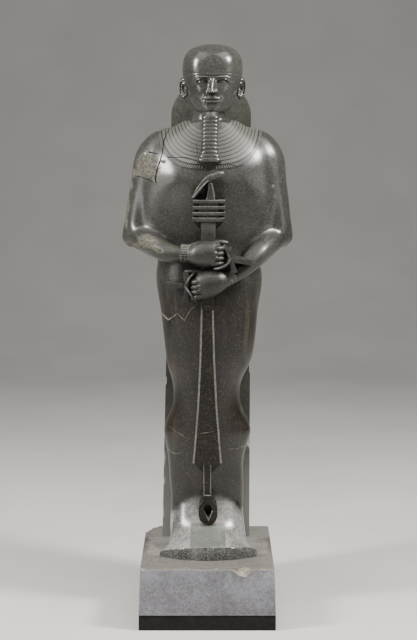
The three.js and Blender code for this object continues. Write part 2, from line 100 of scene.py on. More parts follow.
def spline(knots, values, at):  # a natural cubic curve through the values
    knots, values, at = (np.asarray(item, float) for item in (knots, values, at))
    gaps = np.diff(knots)
    slopes = np.diff(values) / gaps
    size = len(knots)
    system = np.eye(size)
    right = np.zeros(size)
    for row in range(1, size - 1):
        system[row, row - 1 : row + 2] = gaps[row - 1], 2 * (gaps[row - 1] + gaps[row]), gaps[row]
        right[row] = 6 * (slopes[row] - slopes[row - 1])
    bends = np.linalg.solve(system, right)
    low = np.clip(np.searchsorted(knots, at) - 1, 0, size - 2)
    before, after, gap = at - knots[low], knots[low + 1] - at, gaps[low]
    return (
        (bends[low] * after**3 + bends[low + 1] * before**3) / (6 * gap)
        + (values[low] / gap - bends[low] * gap / 6) * after
        + (values[low + 1] / gap - bends[low + 1] * gap / 6) * before
    )


def smoothed(stations, at):  # each column after the first, as a smooth curve over the first
    table = np.array(stations, float)
    return [spline(table[:, 0], column, at) for column in table.T[1:]]


def circle(sides):
    return np.arange(sides) / sides * 2 * math.pi


# Mesh helpers
def deselectAll():
    if bpy.context.mode != "OBJECT":
        bpy.ops.object.mode_set(mode="OBJECT")
    bpy.ops.object.select_all(action="DESELECT")


def makeActive(piece):
    deselectAll()
    piece.select_set(True)
    bpy.context.view_layer.objects.active = piece
    return piece


def faceOut(piece):
    form = bmesh.new()
    form.from_mesh(piece.data)
    bmesh.ops.recalc_face_normals(form, faces=form.faces)
    form.to_mesh(piece.data)
    form.free()
    return piece


def giveSlots(mesh):
    mesh.materials.clear()
    for finish in finishes:
        mesh.materials.append(bpy.data.materials[finish])


def pieceOf(name, points, faces):
    mesh = bpy.data.meshes.new(name)
    mesh.from_pydata(np.asarray(points).tolist(), [], faces)
    giveSlots(mesh)
    piece = bpy.data.objects.new(name, mesh)
    bpy.context.collection.objects.link(piece)
    return faceOut(piece)


def loft(name, rings, ready=False):  # a closed skin through rings of equal count
    rings = np.asarray(rings, float)
    rows, sides = rings.shape[:2]
    points = rings if ready else placed(rings)
    row, side = np.meshgrid(np.arange(rows - 1), np.arange(sides), indexing="ij")
    first = row * sides + side
    second = row * sides + (side + 1) % sides
    quads = np.stack([first, second, second + sides, first + sides], -1).reshape(-1, 4)
    ends = [list(range(sides))[::-1], list(range((rows - 1) * sides, rows * sides))]
    return pieceOf(name, points.reshape(-1, 3), quads.tolist() + ends)


def finishWith(piece, kind, **settings):
    step = piece.modifiers.new(kind.title(), kind)
    for key, value in settings.items():
        setattr(step, key, value)
    makeActive(piece)
    bpy.ops.object.modifier_apply(modifier=step.name)
    return piece


def discard(piece):
    mesh = piece.data
    bpy.data.objects.remove(piece)
    bpy.data.meshes.remove(mesh)


def combine(piece, other, how="UNION"):
    finishWith(piece, "BOOLEAN", operation=how, solver="MANIFOLD", object=other)
    discard(other)
    return piece


def bevelEdges(piece, width, turn=0.6):  # the edges that turn by more than this angle
    return finishWith(
        piece, "BEVEL", width=width * mm, segments=2, limit_method="ANGLE", angle_limit=turn)


def finishAs(piece, finish):  # every face takes one of the stone's finishes
    slots = [finishes.index(finish)] * len(piece.data.polygons)
    piece.data.polygons.foreach_set("material_index", slots)
    return piece


def thin(piece, triangles):  # fewer triangles where the surface is flattest
    count = sum(len(face.vertices) - 2 for face in piece.data.polygons)
    if count > triangles:
        finishWith(piece, "DECIMATE", ratio=triangles / count)
    return piece


def together(pieces):  # one object of several shells, still apart
    deselectAll()
    for piece in pieces:
        piece.select_set(True)
    bpy.context.view_layer.objects.active = pieces[0]
    bpy.ops.object.join()
    return pieces[0]


def coordinates(piece):
    out = np.empty(len(piece.data.vertices) * 3)
    piece.data.vertices.foreach_get("co", out)
    return out.reshape(-1, 3)


def setCoordinates(piece, points):
    piece.data.vertices.foreach_set("co", np.asarray(points, float).ravel())
    piece.data.update()


def drawnAxes(piece):  # the points in millimetres, and their x, y and height above the base top
    points = coordinates(piece) / mm
    return points, points[:, 0], points[:, 1], points[:, 2] - baseTop


def solidBlock(name, middle, size):
    deselectAll()
    bpy.ops.mesh.primitive_cube_add(size=1, location=middle)
    block = bpy.context.active_object
    block.name = name
    block.dimensions = size
    bpy.ops.object.transform_apply(location=True, rotation=True, scale=True)
    return block


def noiseAt(points, scale, seed=0.0):
    shift = Vector((seed, seed * 1.7, -seed))
    return np.array([noise.noise(Vector(point) * scale + shift) for point in points])


def soften(piece, passes, weights=None):  # a point of weight 0 stays where it is
    if weights is None:
        return finishWith(piece, "SMOOTH", factor=0.5, iterations=passes)
    group = piece.vertex_groups.new(name="soften")
    levels = 10
    for level in range(1, levels + 1):
        members = np.nonzero(np.round(weights * levels) == level)[0].tolist()
        group.add(members, level / levels, "REPLACE")
    finishWith(piece, "SMOOTH", factor=0.5, iterations=passes, vertex_group="soften")
    piece.vertex_groups.clear()
    return piece


def levelRing(height, half, front, back, centre=0, middleY=40, power=2.4, sides=96):
    angle = circle(sides)
    across = signedPower(np.cos(angle), 2 / power)
    deep = signedPower(np.sin(angle), 2 / power)
    reach = np.where(deep < 0, middleY - front, back - middleY)
    return np.stack([centre + half * across, middleY + deep * reach, np.full(sides, height)], -1)


def limb(name, stations, sides=48, perStation=10):  # each station: place, radius across, radius deep
    places = np.array([station[0] for station in stations], float)
    steps = np.linalg.norm(np.diff(places, axis=0), axis=1)
    knots = np.concatenate([[0], np.cumsum(steps)])
    at = np.linspace(0, knots[-1], (len(stations) - 1) * perStation + 1)
    line = np.stack([spline(knots, places[:, axis], at) for axis in range(3)], -1)
    across = np.interp(at, knots, [station[1] for station in stations])
    deep = np.interp(at, knots, [station[2] for station in stations])
    tangents = np.gradient(line, axis=0)
    tangents /= np.linalg.norm(tangents, axis=1, keepdims=True)
    acrossWay = np.cross([0, -1, 0], tangents)
    acrossWay /= np.linalg.norm(acrossWay, axis=1, keepdims=True)
    deepWay = np.cross(tangents, acrossWay)
    angle = circle(sides)
    rings = (
        line[:, None]
        + acrossWay[:, None] * (np.cos(angle)[None, :, None] * across[:, None, None])
        + deepWay[:, None] * (np.sin(angle)[None, :, None] * deep[:, None, None])
    )
    return loft(name, rings)


def frontPlate(name, outline, frontY, backY, bevel=0):
    rings = [[(x, y, z) for x, z in outline] for y in (frontY, backY)]
    plate = loft(name, rings)
    return bevelEdges(plate, bevel) if bevel else plate


def taperedBar(name, stations, backY, centre, bevel=0):  # each station: height, half width, front
    rings = []
    for z, half, front in stations:
        left, right = centre - half, centre + half
        rings.append([(left, front, z), (right, front, z), (right, backY, z), (left, backY, z)])
    bar = loft(name, rings)
    return bevelEdges(bar, bevel) if bevel else bar


def rubble(name, place, half, seed):  # a rough lump that takes a chip out
    jag = 0.25
    bpy.ops.mesh.primitive_ico_sphere_add(subdivisions=4, radius=1)
    lump = bpy.context.active_object
    lump.name = name
    points = coordinates(lump)
    swell = 1 + jag * noiseAt(points, 1.6, seed) + jag * 0.5 * noiseAt(points, 4.5, seed)
    setCoordinates(lump, points * swell[:, None] * (np.array(half) * mm) + np.array(place) * mm)
    giveSlots(lump.data)
    return finishAs(lump, "freshBreak")


# Base block: tapered, with a lost chip in front and a broken corner at the back
def makeBase():
    print("base")
    low, high = slabHigh.z, baseTop * mm
    size = (base["footWidth"] * mm, base["depth"] * mm, high - low)
    block = solidBlock("baseBlock", (0, 0, (low + high) / 2), size)
    giveSlots(block.data)
    bpy.ops.object.mode_set(mode="EDIT")
    form = bmesh.from_edit_mesh(block.data)
    for corner in form.verts:
        corner.select = corner.co.z > high - mm
    form.select_flush(True)
    bmesh.update_edit_mesh(block.data)
    bpy.ops.transform.resize(
        value=(base["topWidth"] / base["footWidth"], 1, 1),
        center_override=(0, 0, high),
        orient_type="GLOBAL",
    )
    bpy.ops.mesh.select_all(action="SELECT")
    bpy.ops.mesh.bevel(offset=base["edge"] * mm, segments=2, affect="EDGES")
    bpy.ops.object.mode_set(mode="OBJECT")
    front = -base["depth"] / 2
    deselectAll()
    lost = rubble("lostChip", (base["chipX"], front, baseTop), base["chipHalf"], 3.1)
    combine(block, lost, "DIFFERENCE")
    half = base["topWidth"] / 2
    back = base["depth"] / 2
    sideX, sideY, backX = -half - 12, base["brokenSideY"] - 12, base["brokenBackX"]
    line = []
    for step in range(base["brokenSteps"] + 1):
        share = step / base["brokenSteps"]
        jag = 7 * noise.noise(Vector((share * 6, 0.4, 0))) + 4 * noise.noise(Vector((share * 19, 2.2, 0)))
        line.append((sideX + (backX - sideX) * share + jag, sideY + (back - sideY) * share - jag))
    rings = []
    for level, out in base["brokenLevels"]:
        z = baseTop + level
        edge = [(x - out, y + out, z) for x, y in line]
        beyond = [(backX + 6 - out, back + 70, z), (-half - 90, back + 70, z), (-half - 90, sideY + out, z)]
        rings.append(edge + beyond)
    combine(block, loft("lostCorner", np.array(rings) * mm, ready=True), "DIFFERENCE")
    for number, (x, wide, high) in enumerate(base["nicks"]):
        nick = rubble("nick", (x, front, baseTop + 1), (wide, high, high), 5 + number)
        combine(block, nick, "DIFFERENCE")
    return block


# Back pillar: narrows upwards, leans with the figure and ends in a half oval
pillar = {
    "thickness": 150,
    "footWidth": 324,
    "topWidth": 287,
    "footX": -6,
    "topX": 14,
    "spring": 1548,
    "rise": 129,
    "edge": 2,
    "archSteps": 48,
    "sunk": -20,
    # lost flakes along the two upright edges: side, height, reach across, deep, high
    "flakes": ((1, 360, 9, 12, 22), (1, 415, 5, 8, 9), (-1, 300, 6, 9, 30), (-1, 215, 7, 10, 16),
               (-1, 96, 5, 8, 22), (1, 640, 4, 8, 26), (-1, 590, 4, 8, 20)),
}


def makePillar():
    print("back pillar")
    outline = []
    for side in (-1, 1):
        outline.append((pillar["footX"] + side * pillar["footWidth"] / 2, pillar["sunk"]))
    for step in range(pillar["archSteps"] + 1):
        angle = step / pillar["archSteps"] * math.pi
        x = pillar["topX"] + math.cos(angle) * pillar["topWidth"] / 2
        outline.append((x, pillar["spring"] + math.sin(angle) * pillar["rise"]))
    back = base["depth"] / 2
    rings = [[(x, y, z + baseTop) for x, z in outline] for y in (back - pillar["thickness"], back)]
    slab = loft("backPillar", np.array(rings) * mm, ready=True)
    bevelEdges(slab, pillar["edge"])
    front = back - pillar["thickness"]
    for number, (side, height, wide, deep, high) in enumerate(pillar["flakes"]):
        share = height / pillar["spring"]
        half = (pillar["footWidth"] * (1 - share) + pillar["topWidth"] * share) / 2
        middle = pillar["footX"] * (1 - share) + pillar["topX"] * share
        place = (middle + side * half, front, baseTop + height)
        combine(slab, rubble("flake", place, (wide, deep, high), 11 + number), "DIFFERENCE")
    return slab


# Wrapped body: height, centre, half width, front
trunkStations = [
    (-20, 0, 134, -36), (110, -2, 132, -34), (172, 0, 131, -34), (239, -3, 134, -46),
    (331, -5, 138, -58), (385, -2, 150, -66), (425, 0, 156, -71), (455, -1, 149, -73),
    (490, -2, 133, -77), (560, -3, 120, -84), (620, -1, 129, -88), (660, 3, 145, -92),
    (690, 6, 153, -96), (735, 8, 160, -101), (811, 8, 168, -110), (883, 7, 176, -117),
    (1018, 5, 184, -119), (1056, 2, 190, -116), (1082, 0, 232, -110), (1112, 0, 260, -108),
    (1150, 0, 266, -113), (1240, 0, 262, -128), (1330, 0, 253, -136), (1400, 0, 242, -122),
    (1450, 0, 220, -98), (1482, 0, 176, -80), (1506, 0, 132, -66), (1530, 0, 92, -56),
]
body = {
    "back": 190,
    "power": 2.5,
    "voxel": 4 if not rough else 7,
    "softPasses": 12,
    "chest": (18, 9),
    "creasePasses": 150 if not rough else 50,
    "triangles": 54000,
}
footStations = [  # distance back, half width, top, power of the section
    (-193, 173, 48, 9), (-188, 172, 51, 7), (-160, 159, 60, 4.5), (-120, 147, 80, 3.6),
    (-80, 141, 112, 3.2), (-40, 137, 168, 2.9), (0, 134, 230, 2.8), (150, 132, 240, 2.8),
]
feet = {"toeBow": 65, "toeDroop": (0.52, 0.34), "middleX": 3, "sunk": -15, "steps": 90}
upperArm = [
    ((96, 30, 1452), 50, 60), ((168, 24, 1446), 56, 70), ((208, 18, 1400), 56, 74),
    ((219, 14, 1330), 55, 74), ((233, 8, 1240), 54, 68), ((246, 2, 1160), 52, 62),
    ((253, 0, 1118), 48.5, 56), ((249, 0, 1094), 26, 34),
]
neckStations = [(1500, 84, -62, 150), (1530, 68, -54, 140), (1580, 63, -52, 130), (1640, 66, -50, 120)]
wristY = -166
arms = {
    "left": {
        "elbow": (-250, -4, 1130), "wrist": (-92, wristY, 1077), "bend": (-8, -26, -4),
        "bracelet": ((-91, wristY - 2, 1080), (-55, wristY - 6, 1080)), "knuckle": (24, 0, 1080),
        "wristHalf": (28, 31),
        "thumb": [((-55, -148, 1098), 14, 14), ((-30, -160, 1111), 12, 13), ((18, -166, 1117), 11, 12),
                  ((50, -164, 1117), 10.5, 11), ((70, -160, 1115), 7.5, 8)],
    },
    "right": {
        "elbow": (250, -4, 1130), "wrist": (96, wristY, 1008), "bend": (8, -24, 10),
        "bracelet": ((93, wristY, 1009), (56, wristY - 6, 989)), "knuckle": (-22, 0, 968),
        "wristHalf": (25, 29),
        "thumb": [((50, -150, 1000), 14, 14), ((20, -160, 1009), 12, 13), ((-22, -166, 1015), 10, 11),
                  ((-56, -164, 1017), 9, 10), ((-78, -158, 1016), 6.5, 7)],
    },
}


def trunkFrontAt(height):
    heights = [station[0] for station in trunkStations]
    return float(np.interp(height, heights, [station[3] for station in trunkStations]))


def makeTrunk():
    at = np.linspace(trunkStations[0][0], trunkStations[-1][0], 240)
    return loft("trunk", [
        levelRing(height, half, front, body["back"], centre, power=body["power"], sides=120)
        for height, centre, half, front in zip(at, *smoothed(trunkStations, at))
    ])


def makeFeet():
    toes, instep = footStations[0][0], footStations[1][0]
    at = np.concatenate([
        np.linspace(toes, instep, 3)[:-1], np.linspace(instep, footStations[-1][0], 70)])
    half, top, power = smoothed(footStations, at)
    steps = feet["steps"]
    sections = []
    for step in range(steps + 1):
        angle = step / steps * math.pi
        across = signedPower(math.cos(angle), 2 / power)
        bend = across**2 * (1 - smooth(toes, 0, at))
        droop = feet["toeDroop"][0] if step > steps / 2 else feet["toeDroop"][1]
        up = signedPower(math.sin(angle), 2 / power) * (1 - droop * bend)
        upper = np.stack([half * across + feet["middleX"], at + feet["toeBow"] * bend, top * up], -1)
        lower = upper[[-1, 0]].copy()
        lower[:, 2] = feet["sunk"]
        sections.append(np.concatenate([lower, upper]))
    return loft("wrappedFeet", sections)


def makeForearm(arm):
    elbow, wrist = np.array(arm["elbow"], float), np.array(arm["wrist"], float)
    middle = elbow * 0.45 + wrist * 0.55 + np.array(arm["bend"])
    across, deep = arm["wristHalf"]
    stations = [(elbow, 40, 46), (middle, 40, 46), (wrist, across + 1, deep)]
    return limb("forearm", stations + [(arm["bracelet"][1], across, deep)])


def makeNeck():
    at = np.linspace(neckStations[0][0], neckStations[-1][0], 30)
    sizes = zip(at, *smoothed(neckStations, at))
    return loft("neck", [levelRing(*size, middleY=20, power=2.1, sides=80) for size in sizes])


def makeBody():
    print("wrapped body")
    shells = [makeTrunk(), makeFeet(), makeNeck()]
    for side in (-1, 1):
        shells.append(limb("upperArm", [
            (np.array(place) * (side, 1, 1), across, deep) for place, across, deep in upperArm]))
    shells += [makeForearm(arms["left"]), makeForearm(arms["right"])]
    soft = together(shells)
    soft.name = "wrappedBody"
    finishWith(soft, "REMESH", mode="VOXEL", voxel_size=body["voxel"] * mm, adaptivity=0)
    points, x, y, z = drawnAxes(soft)
    chest = bump(np.abs(x), 84, 62) * bump(z, 1340, 62) * (1 - smooth(-60, 0, y))
    points[:, 1] -= np.where(x < 0, body["chest"][0], body["chest"][1]) * chest
    points[:, 1] -= 8 * bump(x, -256, 34) * bump(z, 1148, 26) * (1 - smooth(-20, 20, y))
    setCoordinates(soft, points * mm)
    toe = (1 - smooth(56, 75, z)) * (1 - smooth(-60, 20, y))  # the toe face keeps its edges
    elbow = smooth(215, 250, np.abs(x - 6)) * bump(z, 1115, 40)
    weights = np.clip(1 - 0.8 * toe - 0.6 * elbow, 0, 1)
    soften(soft, body["softPasses"], weights)
    # the forearms run into the chest without a crease
    x, y, z = drawnAxes(soft)[1:]
    crease = 1142 - 38 * smooth(190, 95, np.abs(x))
    fade = smooth(60, 110, np.abs(x)) * (1 - smooth(-40, 10, y))
    merge = 1.3 * bump(z, crease, 40) * fade
    ahead = 1 - smooth(60, 110, y)
    merge += smooth(120, 165, np.abs(x)) * smooth(1280, 1340, z) * ahead  # round shoulders
    merge += 0.6 * smooth(165, 200, np.abs(x)) * smooth(1130, 1200, z) * ahead  # round arms
    soften(soft, body["creasePasses"], np.clip(merge, 0, 1))
    return thin(soft, body["triangles"])


# Broad collar: bands between an inner and an outer oval, with an outer row of drops
collar = {
    "middle": 1547,
    "inner": (73, 52, 2.0),
    "outer": (185, 182, 3.0),
    "bands": 9,
    "line": 2.5,
    "ground": 0.4,
    "relief": 2.8,
    "dropShare": 0.13,
    "drops": 84,
    "dropHalf": 3.2,
    "cutFront": -260,
    "cutBack": 120,
}


def collarPoint(share, angle, spread=0.0):
    half, drop, power = (a * (1 - share) + b * share for a, b in zip(collar["inner"], collar["outer"]))
    x = (half + spread) * signedPower(np.cos(angle), 2 / power)
    z = collar["middle"] + (drop + spread) * signedPower(np.sin(angle), 2 / power)
    return x, z


def collarStrip(lowShare, highShare, spread):  # a horseshoe outline between two ovals
    angles = np.linspace(math.pi, 2 * math.pi, 72)
    outerX, outerZ = collarPoint(highShare, angles, -spread)
    innerX, innerZ = collarPoint(lowShare, angles[::-1], spread)
    top = collar["middle"] + 4
    return (
        [(outerX[0], top)] + list(zip(outerX, outerZ)) + [(outerX[-1], top)]
        + [(innerX[0], top)] + list(zip(innerX, innerZ)) + [(innerX[-1], top)]
    )


def collarCutter(name, outline):
    return frontPlate(name, outline, collar["cutFront"], collar["cutBack"])


def makeCollar(soft):
    print("collar")
    layers = []
    for name, rise in (("collarGround", collar["ground"]), ("collarBands", collar["relief"])):
        copy = soft.copy()
        copy.data = soft.data.copy()
        copy.name = name
        bpy.context.collection.objects.link(copy)
        layers.append(finishWith(copy, "DISPLACE", strength=rise * mm, mid_level=0, direction="NORMAL"))
    ground, relief = layers
    combine(ground, collarCutter("collarArea", collarStrip(0, 1, 0)), "INTERSECT")
    stencils = []
    last = 1 - collar["dropShare"]
    for band in range(collar["bands"]):
        low = last * band / collar["bands"]
        high = last * (band + 1) / collar["bands"]
        stencils.append(collarCutter("band", collarStrip(low, high, collar["line"] / 2)))
    outline = np.linspace(0, 2 * math.pi, 9)[:-1]
    for number in range(collar["drops"]):
        along = math.pi + (number + 0.5) / collar["drops"] * math.pi
        x, z = collarPoint(1 - collar["dropShare"] / 2, along)
        innerX, innerZ = collarPoint(last, along)
        outerX, outerZ = collarPoint(1.0, along)
        way = np.array([outerX - innerX, outerZ - innerZ])
        long = np.linalg.norm(way)
        way /= long
        side = np.array([-way[1], way[0]])
        nearX, nearZ = collarPoint(1 - collar["dropShare"] / 2, along + math.pi / collar["drops"])
        wide = min(collar["dropHalf"], 0.34 * math.hypot(nearX - x, nearZ - z))
        drop = [
            (x + way[0] * math.cos(a) * long * 0.4 + side[0] * math.sin(a) * wide,
             z + way[1] * math.cos(a) * long * 0.4 + side[1] * math.sin(a) * wide)
            for a in outline
        ]
        stencils.append(collarCutter("drop", drop))
    combine(relief, together(stencils), "INTERSECT")
    # the raised bands take the incised finish, which paints them paler as a sheen
    return [finishAs(ground, "stone"), finishAs(relief, "incised")]


# Fists round the upright shaft, built solid, then melted together
hand = {
    "finger": 9.8,
    "fingerShares": (1, 1.05, 1.0, 0.88),
    "spacing": 17,
    "voxel": 1.7 if not rough else 3,
    "softPasses": 3,
    "triangles": 13000,
}


def makeFist(arm, way):
    wrist, knuckle = np.array(arm["wrist"], float), np.array(arm["knuckle"], float)
    along = knuckle - wrist

    def at(share, y):
        return (wrist[0] + along[0] * share, y, wrist[2] + along[2] * share)

    shells = [limb("palm", [
        (at(0.1, -168), 26, 28), (at(0.34, -178), 31, 32), (at(0.5, -186), 40, 38),
        (at(0.7, -190), 45, 40), (at(0.95, -190), 45, 38), (at(1.16, -184), 35, 27),
    ])]
    pitch = hand["spacing"]
    drops = [(1.5 - finger) * pitch for finger in range(4)]
    for drop, share in zip(drops, hand["fingerShares"]):
        thick = hand["finger"] * share

        def reach(x, y):
            return (knuckle[0] + x * way, y, knuckle[2] - 6 + drop + along[2] * 0.25 * (x / 60))

        shells.append(limb("finger", [
            (reach(-22, -200), thick * 0.9, thick), (reach(10, -212), thick, thick * 1.15),
            (reach(30, -198), thick, thick), (reach(36, -176), thick * 0.96, thick),
            (reach(24, -156), thick * 0.85, thick * 0.85), (reach(6, -148), thick * 0.7, thick * 0.7),
        ], 24, 8))
    shells.append(limb("thumb", arm["thumb"], 24, 8))
    fist = together(shells)
    fist.name = "fist"
    finishWith(fist, "REMESH", mode="VOXEL", voxel_size=hand["voxel"] * mm, adaptivity=0)
    giveSlots(fist.data)
    soften(fist, hand["softPasses"])
    points, x, y, z = drawnAxes(fist)
    x = (x - leanAt(z) - knuckle[0]) * way
    z = z - knuckle[2] + 6 - along[2] * 0.25 * (x / 60)
    front = smooth(-150, -185, y)
    cut = sum(bump(z, gap * pitch, 2.2) for gap in (-1, 0, 1)) * smooth(-4, 10, x)  # between the fingers
    joints = bump(x, 9, 2.0) + bump(x, 12, 1.6) * 0.6
    nails = bump(x, 33, 5) * sum(bump(z, drop, 5.5) for drop in drops)
    points[:, 1] += front * (2.6 * np.clip(cut, 0, 1) + 0.5 * joints * (np.abs(z) < 40) - 0.6 * nails)
    setCoordinates(fist, points * mm)
    return thin(fist, hand["triangles"])


# Bracelets: rings of short strokes between raised rims
bracelet = {"proud": (3, 5), "rows": 3, "strokes": 24, "cut": 3.0, "sides": 192, "steps": 30}


def makeBracelet(arm):
    start, end = (np.array(place, float) for place in arm["bracelet"])
    away = (end - start) / np.linalg.norm(end - start)
    across = np.cross([0, -1, 0], away)
    across /= np.linalg.norm(across)
    deep = np.cross(away, across)
    angle = circle(bracelet["sides"])
    rings, cuts = [], []
    for step in range(bracelet["steps"] + 1):
        share = step / bracelet["steps"]
        middle = start + (end - start) * share
        row = share * bracelet["rows"]
        between = abs(row - round(row))
        groove = bump(between, 0, 0.09) * bracelet["cut"]
        stroke = (np.cos(angle * bracelet["strokes"]) > 0.25) * bracelet["cut"] * 0.75 * (between > 0.13)
        cuts.append((stroke > 0) | (groove > bracelet["cut"] * 0.5))
        rim = 1.6 * (1 - smooth(0, 0.05, share)) + 1.6 * smooth(0.95, 1, share)
        radius = arm["wristHalf"][0] + bracelet["proud"][0] - groove - stroke - rim
        radiusDeep = arm["wristHalf"][1] + bracelet["proud"][1] - groove - stroke - rim
        out = across * (np.cos(angle) * radius)[:, None] + deep * (np.sin(angle) * radiusDeep)[:, None]
        rings.append(middle + out)
    # the ring is painted pale as a highlight, and its strokes and grooves get the near-black painted shade
    ring = finishAs(loft("bracelet", rings), "paintedHighlight")
    for face, cut in zip(ring.data.polygons, np.array(cuts[:-1]).ravel()):
        if cut:
            face.material_index = finishes.index("deepShade")
    return ring


# Life sign in each hand: flared stem and cross-bar, with the loop's edge by the fingers
def flaredBar(name, start, end, startHalf, endHalf, frontY, backY):
    way = np.array(end, float) - np.array(start, float)
    way /= np.linalg.norm(way)
    side = np.array([-way[1], way[0]])
    corners = [(start, -startHalf), (end, -endHalf), (end, endHalf), (start, startHalf)]
    outline = [tuple(np.array(point, float) + side * half) for point, half in corners]
    return frontPlate(name, outline, frontY, backY, bevel=2.6)


def makeLifeSign(sign):
    cross, front, back = sign["cross"], sign["front"], sign["back"]
    shells = [flaredBar("stem", cross, sign["stemEnd"], 8, 11, front, back),
              flaredBar("barTop", cross, sign["barTop"], 6, 11, front - 2, back),
              flaredBar("barFoot", cross, sign["barFoot"], 6, 11, front - 2, back)]
    whole = shells[0]
    for shell in shells[1:]:
        combine(whole, shell)
    for line in sign["loops"]:
        combine(whole, limb("loop", [(place, 5, 9) for place in line], 16, 8))
    return whole


lifeSigns = [
    {
        "cross": (80, 1062), "stemEnd": (154, 1053), "barTop": (70, 1101), "barFoot": (93, 1017),
        "front": -214, "back": -120,
        "loops": [
            [(78, -208, 1064), (72, -216, 1052), (60, -220, 1042), (44, -218, 1035), (26, -206, 1031)],
            [(78, -208, 1062), (72, -208, 1078), (66, -202, 1090), (58, -190, 1100)],
        ],
    },
    {
        "cross": (-69, 971), "stemEnd": (-138, 976), "barTop": (-73, 1018), "barFoot": (-73, 917),
        "front": -206, "back": -100,
        "loops": [
            [(-76, -202, 971), (-68, -210, 958), (-58, -212, 944), (-48, -206, 930), (-40, -194, 920)],
            [(-76, -202, 971), (-68, -208, 986), (-60, -206, 1000), (-48, -198, 1012)],
        ],
    },
]

# Head: height above the chin, half width, front, back, power of the section
headStations = [
    (0, 38, -92, 20, 2.2), (10, 54, -99, 52, 2.3), (34, 72, -102, 86, 2.3), (60, 80, -103, 100, 2.3),
    (85, 88, -104, 110, 2.3), (110, 96, -105, 120, 2.3), (140, 103, -106, 128, 2.3),
    (170, 103, -105, 130, 2.3), (195, 98, -98, 124, 2.3), (215, 86, -84, 110, 2.3),
    (230, 67, -62, 88, 2.3), (238, 46, -40, 64, 2.2), (242, 20, -8, 34, 2.0), (242.8, 1, 10, 14, 2.0),
]
head = {
    "chin": 1554,
    "middleY": 12,
    "shiftX": 4,
    "rows": 190 if not rough else 90,
    "columns": 230 if not rough else 120,
    "cap": 132,
    "triangles": 26000,
}


faceForms = [  # stands forward, across, half width, above the chin, half height
    (9, 12.5, 6.5, 79, 7), (-4, 6.5, 3.4, 71, 2.6), (-2.5, 20, 4.5, 80, 9),  # wings of the nose
    (-10, 33, 17, 118, 13), (-5, 17, 7, 121, 9), (7.5, 35, 15, 117, 9),  # eye sockets and balls
    (5.5, 0, 30, 48, 17), (-2.2, 29, 4, 49, 4),  # mound of the mouth and its corners
    (-1.8, 0, 4, 62, 6), (1.2, 7, 3, 62, 7),  # groove above the lip
    (-2.6, 0, 18, 31, 5), (6, 0, 22, 17, 11), (3.8, 46, 20, 86, 22),  # under the lip, chin, cheeks
]


def faceRelief(x, z):  # a plain carved face: x across, z above the chin, result stands forward
    side = np.abs(x)
    z = z + np.where(z > 60, 8 * smooth(60, 90, z), 0)  # the drawing is squeezed below the cap
    out = np.zeros_like(x)
    for forward, across, wide, up, high in faceForms:
        out += forward * bump(side, across, wide) * bump(z, up, high)
    # ridge of the nose
    length = smooth(70, 76, z) * (1 - smooth(112, 142, z))
    out += (9 + 17 * (1 - smooth(78, 128, z))) * length * bump(side, 0, 8.5 + 4 * (1 - smooth(74, 96, z)))
    # eyes: opening, lids and the long outer line
    eyeX = np.abs((side - 35) / 21)
    inside = smooth(1.05, 0.85, eyeX)
    arch = 1 - np.clip(eyeX, 0, 1) ** 2.2
    upper = 117 + 7.5 * arch
    lower = 116 - 5.5 * arch
    opening = smooth(-0.6, 0.6, upper - z) * smooth(-0.6, 0.6, z - lower) * inside
    out -= 2.6 * opening * (1 - 0.75 * bump(side, 35, 12))
    out += 4.6 * bump(z, upper + 2.2, 2.1) * smooth(1.25, 1.0, eyeX)
    out -= 2.4 * bump(z, upper - 0.6, 1.3) * inside
    out += 3.2 * bump(z, lower - 1.8, 1.9) * smooth(1.2, 0.95, eyeX)
    out -= 1.8 * bump(z, lower + 0.7, 1.2) * inside
    outerLine = 117.5 - (side - 56) * 0.04
    out += 3.0 * bump(z, outerLine, 2.2) * smooth(52, 57, side) * (1 - smooth(72, 78, side))
    # brows
    brow = 134 - 0.0032 * (side - 34) ** 2
    out += 4.6 * bump(z, brow, 3.0) * smooth(12, 18, side) * (1 - smooth(66, 76, side))
    # lips and the line between them
    line = 48 + 1.6 * smooth(12, 27, side)
    upperLip = line + 5.4 - 1.2 * bump(side, 0, 4) + 0.6 * bump(side, 7, 5) - 2.2 * smooth(10, 27, side)
    out += 3.6 * bump(z, upperLip - 0.5, 4.2) * (1 - smooth(22, 30, side))
    out += 5.2 * bump(z, line - 7, 5.0) * (1 - smooth(18, 27, side))
    out -= 4.6 * bump(z, line, 1.6) * (1 - smooth(24, 29, side))
    # fold beside the mouth
    out -= 1.4 * bump(side, 33 + (80 - z) * 0.15, 5) * bump(z, 66, 14)
    return out


